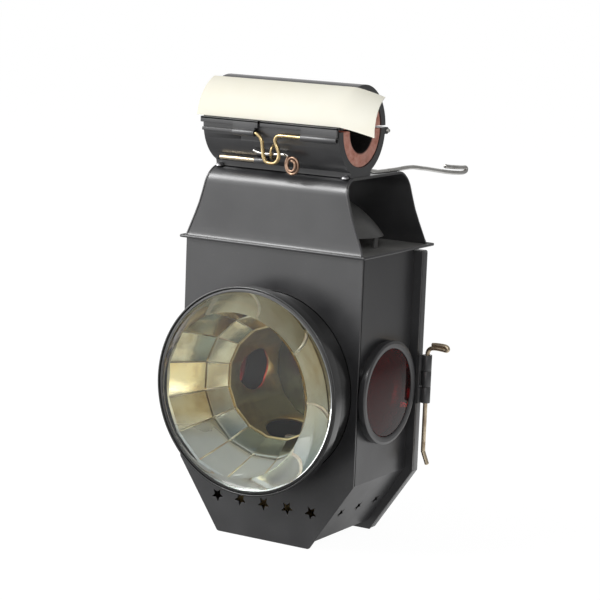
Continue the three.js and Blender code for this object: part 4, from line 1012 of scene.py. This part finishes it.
build("rear_pin_wire", [rear_wire], bright_steel, "lamp", ["clamp_hinge_pin"])

# %% The leather liners
hide_out, hide_in, hide_half = 17.5, 10.6, 37.5
lower_hide = arc(clamp_middle, hide_out, 180 - 0.6, 360 + 0.6, 48)
lower_hide += arc(clamp_middle, hide_in, 360 + 1.0, 180 - 1.0, 40)
upper_hide = arc(clamp_middle, hide_out, 4.3, 175.7, 48) + arc(clamp_middle, hide_in, 172.9, 7.1, 40)
for name, hide_end, body, node in (("liner_lower_half", lower_hide, "lamp", "lower_liner"),
                                   ("liner_upper_half", upper_hide, "clamp_top", "upper_liner")):
    liner = drawn(hide_end, -hide_half, hide_half, "X")
    build(name, [liner], leather, body, [node], sharp=30, edge=0.5, edge_steps=3)

# %% The solder drops at the saddle
drop = [(0.0, 180.4), (1.9, 180.4), (1.8, 180.8), (1.4, 181.4), (0.7, 181.8), (0.0, 181.9)]
for side, x in (("right", 35.5), ("left", -35.5)):
    blob = spun(drop, (x, 5.2), "Z", 24, closed=False)
    build(f"{side}_solder_drop", [blob], solder, "lamp", [f"{side}_saddle_rivet"], sharp=60)

# %% [markdown]
# ## The clasp
# A wire bail hangs from the upper half's front barrels. A ring stands out of the lower
# half, a locking pin with a curled end goes through the ring, and a bolt rests in a
# small sleeve under it. All but the sleeve are bent wire, so each is a path and a radius.
# The pin's shank is bright steel and its curl coppery, so they are two pieces.

# %% The bail and the staple ring
bail_bends = [(-16.2, 199.1), (-10, 199.1), (-7.4, 199.1), (-6.2, 198.9), (-4.4, 197.6), (-3.3, 195.9),
              (-2.8, 193.6), (-2.5, 191.0), (-2.0, 188.4), (-0.9, 186.4), (1.2, 185.7), (3.6, 185.7),
              (5.4, 186.6), (6.4, 188.6), (6.5, 190.8), (5.6, 193.0), (4.5, 195.2), (4.2, 197.0),
              (5.4, 198.7), (8.0, 199.1), (13, 199.1), (18.5, 199.1), (27.4, 199.1)]
bail_path = [(x, front_pin[0], z) for x, z in bail_bends]
build("bail_wire", [wire(bail_path, 0.9, 18, 6)], clasp_brass, "bail", ["bail"], sharp=60)
ring_path = []
for k in range(49):
    angle = math.radians(62 + 236 * k / 48)
    lean, forward, up = 0.35 * math.sin(angle), 2.75 * math.cos(angle), 3.4 * math.sin(angle)
    ring_path.append((0.5 + lean, -3.0 + forward, 190.6 + up))
build("staple_wire", [wire(ring_path, 0.6, 14, smooth=False)], clasp_brass, "lamp", ["staple_ring"], sharp=60)

# %% The locking pin with its curl
pin_y = -4.3
shank = [(-9.6, pin_y, 190.5), (-7.6, pin_y, 189.8), (-4.0, pin_y, 189.4), (0.0, pin_y, 189.5),
         (4.5, pin_y, 189.8), (7.6, pin_y, 189.9), (9.4, pin_y, 189.4)]
curl = shank[-1:]
for k in range(31):
    angle = math.radians(150 + 660 * k / 30)
    coil = 3.9 * (1 - 0.55 * k / 30)
    across, up = coil * math.cos(angle), coil * 1.2 * math.sin(angle)
    curl.append((12.2 + across, pin_y - 1.5 * k / 30, 185.4 + up))
shank_wire = wire(shank, 0.72, 16, 6, caps=(1.2, 0.3))
build("locking_pin_wire", [shank_wire], bright_steel, "locking_pin", ["locking_pin"], sharp=60)
build("locking_pin_curl", [wire(curl, 0.72, 16, 4, caps=(0.3, 0.6))], curl_copper, "locking_pin", sharp=60)

# %% The bolt and its sleeve
bolt_y, bolt_z = -0.4, 185.5
bolt_ends = [(-31.0, bolt_y, bolt_z), (-5.6, bolt_y, bolt_z)]
bolt = wire(bolt_ends, 1.15, 20, smooth=False, caps=(0.7, 0.5))
build("bolt_rod", [bolt], pin_brass, "slide_bolt", ["slide_bolt"], sharp=60)
sleeve = rounded([(1.25, -11.3), (1.6, -11.3), (1.6, -4.0), (1.25, -4.0)], 0.1, 2)
build("bolt_sleeve_tube", [spun(sleeve, (bolt_y, bolt_z), "X", 32)], japan, "lamp", ["bolt_sleeve"])

# %% [markdown]
# ## The wire arm
# A springy wire is pinned in a lug behind the clamp and lies along the hood's top. Its
# end is bent back on itself. It follows the measured points, with the lug's axis as the
# start.

# %% The arm and its lug
arm_x = 36.6
arm_axis = (27.5, 182.3)
arm_path = [(17.4, *arm_axis), (25.0, *arm_axis), (32.6, *arm_axis), (34.6, 27.6, 182.3), (36.0, 28.4, 182.2)]
arm_run = [(30.4, 181.9), (35.0, 181.6), (44.0, 181.45), (54.0, 181.45), (62.0, 181.6), (69.2, 181.3),
           (76.0, 180.4), (83.0, 179.5), (93.0, 178.0), (103.0, 176.5), (113.0, 175.3), (121.0, 174.7),
           (125.0, 175.1), (125.75, 176.2), (124.8, 177.1), (121.5, 177.35), (112.0, 178.2), (102.6, 179.3)]
arm_path += [(arm_x, y, z) for y, z in arm_run]
arm = wire(arm_path, 1.05, 18, 6, caps=(0.4, 0.4))
build("arm_wire", [arm], bright_steel, "wire_arm", ["wire_arm"], sharp=60)
lug = rounded([(1.2, 17.0), (1.9, 17.0), (1.9, 33.0), (1.2, 33.0)], 0.2, 2)
build("arm_lug_tube", [spun(lug, arm_axis, "X", 32)], japan, "lamp", ["arm_lug"])

# %% [markdown]
# ## The door
# The rear door is a shallow tray with a raised middle, pressed from one sheet, and it
# swings on the right. Its rings are the case's outline, moved in by steps, each at its
# own depth. Rounded corners on every ring give the soft pressed look.

# %% The outline of the case's rear
rear_reach, rear_top = 3.7, 143.2
slope = chamfer_top / (body_half - foot_half)


def rear_outline(inset, foot, corner):
    """The rear's outline, moved in, with rounded corners."""
    length = math.hypot(body_half - foot_half, chamfer_top)
    shift = (rear_reach - inset) * length / chamfer_top
    side = body_half + rear_reach - inset
    corner_z = chamfer_top + (side - body_half - shift) * slope
    foot_x = body_half + shift - (chamfer_top - foot) / slope
    top = rear_top - inset
    right_half = [(foot_x, foot), (side, corner_z), (side, top)]
    left_half = [(-x, z) for x, z in reversed(right_half)]
    return rounded(left_half + right_half, corner, 5)


# %% The door tray
def pressed(rings):
    """A sheet through rings of outline and depth, closed in the middle of both ends."""
    points, faces = skin([[(x, depth, z) for x, z in outline_ring] for outline_ring, depth in rings])
    count = len(rings[0][0])
    faces.append(list(range(count)))
    faces.append(list(range(len(points) - count, len(points))))
    return points, faces


door_near, door_far, field_far = 52.2, 57.2, 58.8
inside = [(12.0, 12.3, 2.0, field_far - 0.8), (10.2, 10.5, 2.0, door_far - 0.6),
          (1.6, 1.9, 1.0, door_far - 0.8), (0.8, 1.1, 0.8, door_far - 1.6), (0.8, 1.1, 0.8, door_near)]
outside = [(0.0, 0.3, 1.0, door_near), (0.0, 0.3, 1.0, door_far - 1.0), (0.3, 0.6, 1.1, door_far - 0.3),
           (1.0, 1.3, 1.3, door_far), (9.0, 9.3, 2.0, door_far), (9.6, 9.9, 2.0, door_far + 0.25),
           (10.6, 10.9, 2.0, field_far - 0.25), (11.4, 11.7, 2.0, field_far)]
tray_rings = [(rear_outline(inset, foot, corner), depth) for inset, foot, corner, depth in inside + outside]
tray = pressed(tray_rings)
build("rear_door", [tray], japan, "door", ["door"], sharp=40)

# %% The door's hinge
hinge = (56.8, 55.6)
hinge_low, hinge_high, play = 67.8, 91.7, 0.06
first_joint = hinge_low + (hinge_high - hinge_low) / 3
second_joint = hinge_high - (hinge_high - hinge_low) / 3


def hinge_barrel(low, high):
    """One knuckle of the door's hinge, upright."""
    loop = rounded([(1.2, low), (2.3, low), (2.3, high), (1.2, high)], 0.12, 2)
    return spun(loop, hinge, "Z", 32)


fixed_leaf = rounded([(53.8, 51.0), (55.1, 51.0), (55.1, 51.9), (53.8, 51.9)], 0.1, 2)
wrap = rounded([(54.1, 51.4), (55.1, 51.4), (55.4, 55.4), (54.6, 55.6), (54.1, 54.9)], 0.15, 2)
leaves = [drawn(fixed_leaf, hinge_low, hinge_high, "Z")]
for low, high in ((hinge_low, first_joint - play), (second_joint + play, hinge_high)):
    leaves += [hinge_barrel(low, high), drawn(wrap, low, high, "Z")]
build("frame_hinge_half", leaves, japan, "lamp", ["frame_hinge"], sharp=30)
low, high = first_joint + play, second_joint - play
door_leaf = drawn([(53.8, 55.1), (55.6, 55.1), (55.6, 56.1), (53.8, 56.1)], low, high, "Z")
build("door_hinge_half", [hinge_barrel(low, high), door_leaf], japan, "door", ["door_knuckle"],
      sharp=30, edge=0.12)

# %% The door's wire pin
pin_bends = [(2.5, 37.3), (1.9, 38.8), (0.9, 41.2), (0.2, 43.0), (0, 44.6), (0, 55.0), (0, 67.8), (0, 80.0),
             (0, 91.7), (0.15, 93.2), (0.9, 94.5), (2.4, 95.3), (5.5, 95.5), (8.6, 95.3), (10.4, 95.2),
             (11.0, 96.0), (10.2, 96.9), (8.2, 97.2), (5.0, 97.2), (2.6, 97.0)]
pin_path = [(hinge[0] + out, hinge[1], z) for out, z in pin_bends]
pin_wire = wire(pin_path, 1.1, 16, 6, caps=(0.5, 0.5))
build("door_pin_wire", [pin_wire], pin_brass, "door_pin", ["door_pin"], sharp=60)

# %% [markdown]
# ## The paper strip
# A strip of cream paper is wrapped over the clamp's front quarter, and its free end
# hangs past the clamp and droops. Paper bends one way only, so it stays round the clamp
# and sags along its length. It is left blank.

# %% The blank strip
lowest_edge, wrap_degrees = 7, 62
fixed_end, free_end, free_end_slant = 41.5, 57.0, 3.2


def paper_point(share, across, radius):
    """A point on the strip, by its share of the length and of the width."""
    angle = math.radians(lowest_edge + wrap_degrees * across)
    reach = free_end - free_end_slant * across
    x = -fixed_end + (fixed_end + reach) * share
    past = max(0.0, (x - half_long) / 19.0)
    droop = 3.4 * past ** 1.2 * (1 + 0.25 * across)
    wave = 0.12 * math.sin(share * 9.0) * across * (1 - across) if x < half_long else 0.0
    out = radius + wave
    return (x, axis_y - out * math.cos(angle), axis_z + out * math.sin(angle) - droop)


# %% The strip's two faces and its edges
columns, rows = 64, 22
paper_sides = []
for radius in (21.95, 22.2):
    paper_sides.append([paper_point(i / columns, j / rows, radius)
                        for i in range(columns + 1) for j in range(rows + 1)])
paper_strip = slab(*paper_sides, rows + 1)
build("blank_paper_strip", [paper_strip], paper, "clamp_top", ["paper_label"], sharp=50)

# %% [markdown]
# ## Floor, light and camera
# The photograph is a studio shot on white. The floor and the world show as white to the
# camera. What the hub lamp mirrors is darker in places, as in a real studio: the floor is
# bright there on the right behind it and again further off in front, and the walls are
# bright in two soft patches. Both light it less than they show. Three lights do the rest:
# a key from upper left in front, a weak one from the front right, and a wide window at
# the left.

# %% The floor
floor_z = cad_box[0][2] - 0.0004
floor_mesh = bpy.data.meshes.new("studio_floor")
floor_corners = [(x, y, floor_z) for x, y in ((-4, -4), (4, -4), (4, 4), (-4, 4))]
floor_mesh.from_pydata(floor_corners, [], [(0, 1, 2, 3)])
floor = bpy.data.objects.new("studio_floor", floor_mesh)
bpy.context.scene.collection.objects.link(floor)
white = bpy.data.materials.new("studio_white")
white.use_nodes = True
tree = white.node_tree
tree.nodes.clear()
rays = add(tree, "ShaderNodeLightPath").outputs
spot = add(tree, "ShaderNodeTexCoord").outputs["Object"]

# %% What the floor shows to the camera and in mirrors
to_rear_right, to_front_left = (0.6, 0.8, 0), (-0.52, -0.85, 0)
near_lamp = spread(tree, distance_out(tree, spot), 1.0, 0.0, 0.3, 0.65)
rear_right = spread(tree, reach_along(tree, spot, to_rear_right), 0.0, 1.0, 0.0, 0.12)
in_front = spread(tree, reach_along(tree, spot, to_front_left), 0.0, 1.0, 0.2, 0.7)
bright = maths(tree, "MAXIMUM", maths(tree, "MULTIPLY", near_lamp, rear_right), in_front)
in_mirrors = spread(tree, bright, 0.22, 0.95, 0.0, 1.0)
seen_strength, pale_grey = 1.08, (0.86, 0.86, 0.86)
strength = blend_numbers(tree, rays["Is Camera Ray"], in_mirrors, seen_strength)
glow = add(tree, "ShaderNodeEmission", {"Color": (1, 1, 1), "Strength": strength})
matt = add(tree, "ShaderNodeBsdfDiffuse", {"Color": pale_grey})
glow_share = blend_numbers(tree, rays["Is Diffuse Ray"], 0.9, 0.35)
mixed = add(tree, "ShaderNodeMixShader", {0: glow_share, 1: matt.outputs[0], 2: glow.outputs[0]})
add(tree, "ShaderNodeOutputMaterial", {0: mixed.outputs[0]})
floor_mesh.materials.append(white)
print("floor at", round(floor_z, 4), "metres")

# %% The world
world = bpy.data.worlds.new("studio")
bpy.context.scene.world = world
world.use_nodes = True
tree = world.node_tree
tree.nodes.clear()
rays = add(tree, "ShaderNodeLightPath").outputs
direction = add(tree, "ShaderNodeTexCoord").outputs["Generated"]


def patch_of_sky(towards, start, end, strength):
    """A soft bright patch of the studio round a direction."""
    facing = reach_along(tree, direction, Vector(towards).normalized())
    return spread(tree, facing, 0.0, strength, start, end)


front_left_wall = patch_of_sky((-0.62, -0.75, 0.15), 0.2, 0.85, 0.8)
rear_left_wall = patch_of_sky((-0.51, 0.84, -0.17), 0.7, 0.93, 0.65)
plain_room = 0.3
room = maths(tree, "ADD", maths(tree, "ADD", front_left_wall, rear_left_wall), plain_room)
softened = maths(tree, "MULTIPLY", room, spread(tree, rays["Is Diffuse Ray"], 1.0, 0.6, 0.0, 1.0))
strength = blend_numbers(tree, rays["Is Camera Ray"], softened, 1.0)
sky = add(tree, "ShaderNodeBackground", {"Color": (1, 1, 1), "Strength": strength})
add(tree, "ShaderNodeOutputWorld", {0: sky.outputs[0]})
print("made the world", world.name)


# %% The lamps
def soft_lamp(name, where, aim, size, watts):
    """A square soft light that faces a point, all in metres."""
    light = bpy.data.lights.new(name, "AREA")
    light.energy = watts
    light.size = size
    holder = bpy.data.objects.new(name, light)
    holder.location = where
    holder.rotation_mode = "QUATERNION"
    holder.rotation_quaternion = (Vector(aim) - Vector(where)).to_track_quat("-Z", "Y")
    bpy.context.scene.collection.objects.link(holder)
    print(name, "gives", watts, "watts")


soft_lamp("key_from_upper_left", (-0.62, -0.80, 0.62), (0, 0, -0.05), 0.45, 6.2)
soft_lamp("fill_from_front_right", (0.62, -0.98, 0.62), (0, 0, -0.05), 0.3, 1.6)
soft_lamp("window_at_left", (-1.25, -0.6, 0.3), (0, 0, -0.1), 1.1, 8.2)

# %% The camera
sensor_width, field_degrees, roll_degrees = 36.0, 15.24, 2.22
camera_data = bpy.data.cameras.new("photo_camera")
camera_data.sensor_width = sensor_width
camera_data.lens = sensor_width / 2 / math.tan(math.radians(field_degrees / 2))
camera = bpy.data.objects.new("photo_camera", camera_data)
bpy.context.scene.collection.objects.link(camera)
stand, aim = place(564.8, -898.1, 299.9), place(1.1, 25.0, 116.0)
ahead = (aim - stand).normalized()
level_right = ahead.cross(Vector((0, 0, 1))).normalized()
level_up = level_right.cross(ahead)
roll = math.radians(roll_degrees)
to_right = level_right * math.cos(roll) + level_up * math.sin(roll)
to_up = level_up * math.cos(roll) - level_right * math.sin(roll)
turned = Matrix((to_right, to_up, -ahead)).transposed().to_4x4()
camera.matrix_world = Matrix.Translation(stand) @ turned
camera_data.clip_start, camera_data.clip_end = 0.05, 20.0
bpy.context.scene.camera = camera
bpy.context.scene.view_settings.view_transform = "Standard"
print("camera at", tuple(round(v, 4) for v in stand))

# %% Update the scene and print the CAD box
bpy.context.view_layer.update()
print("CAD box:", cad_box)
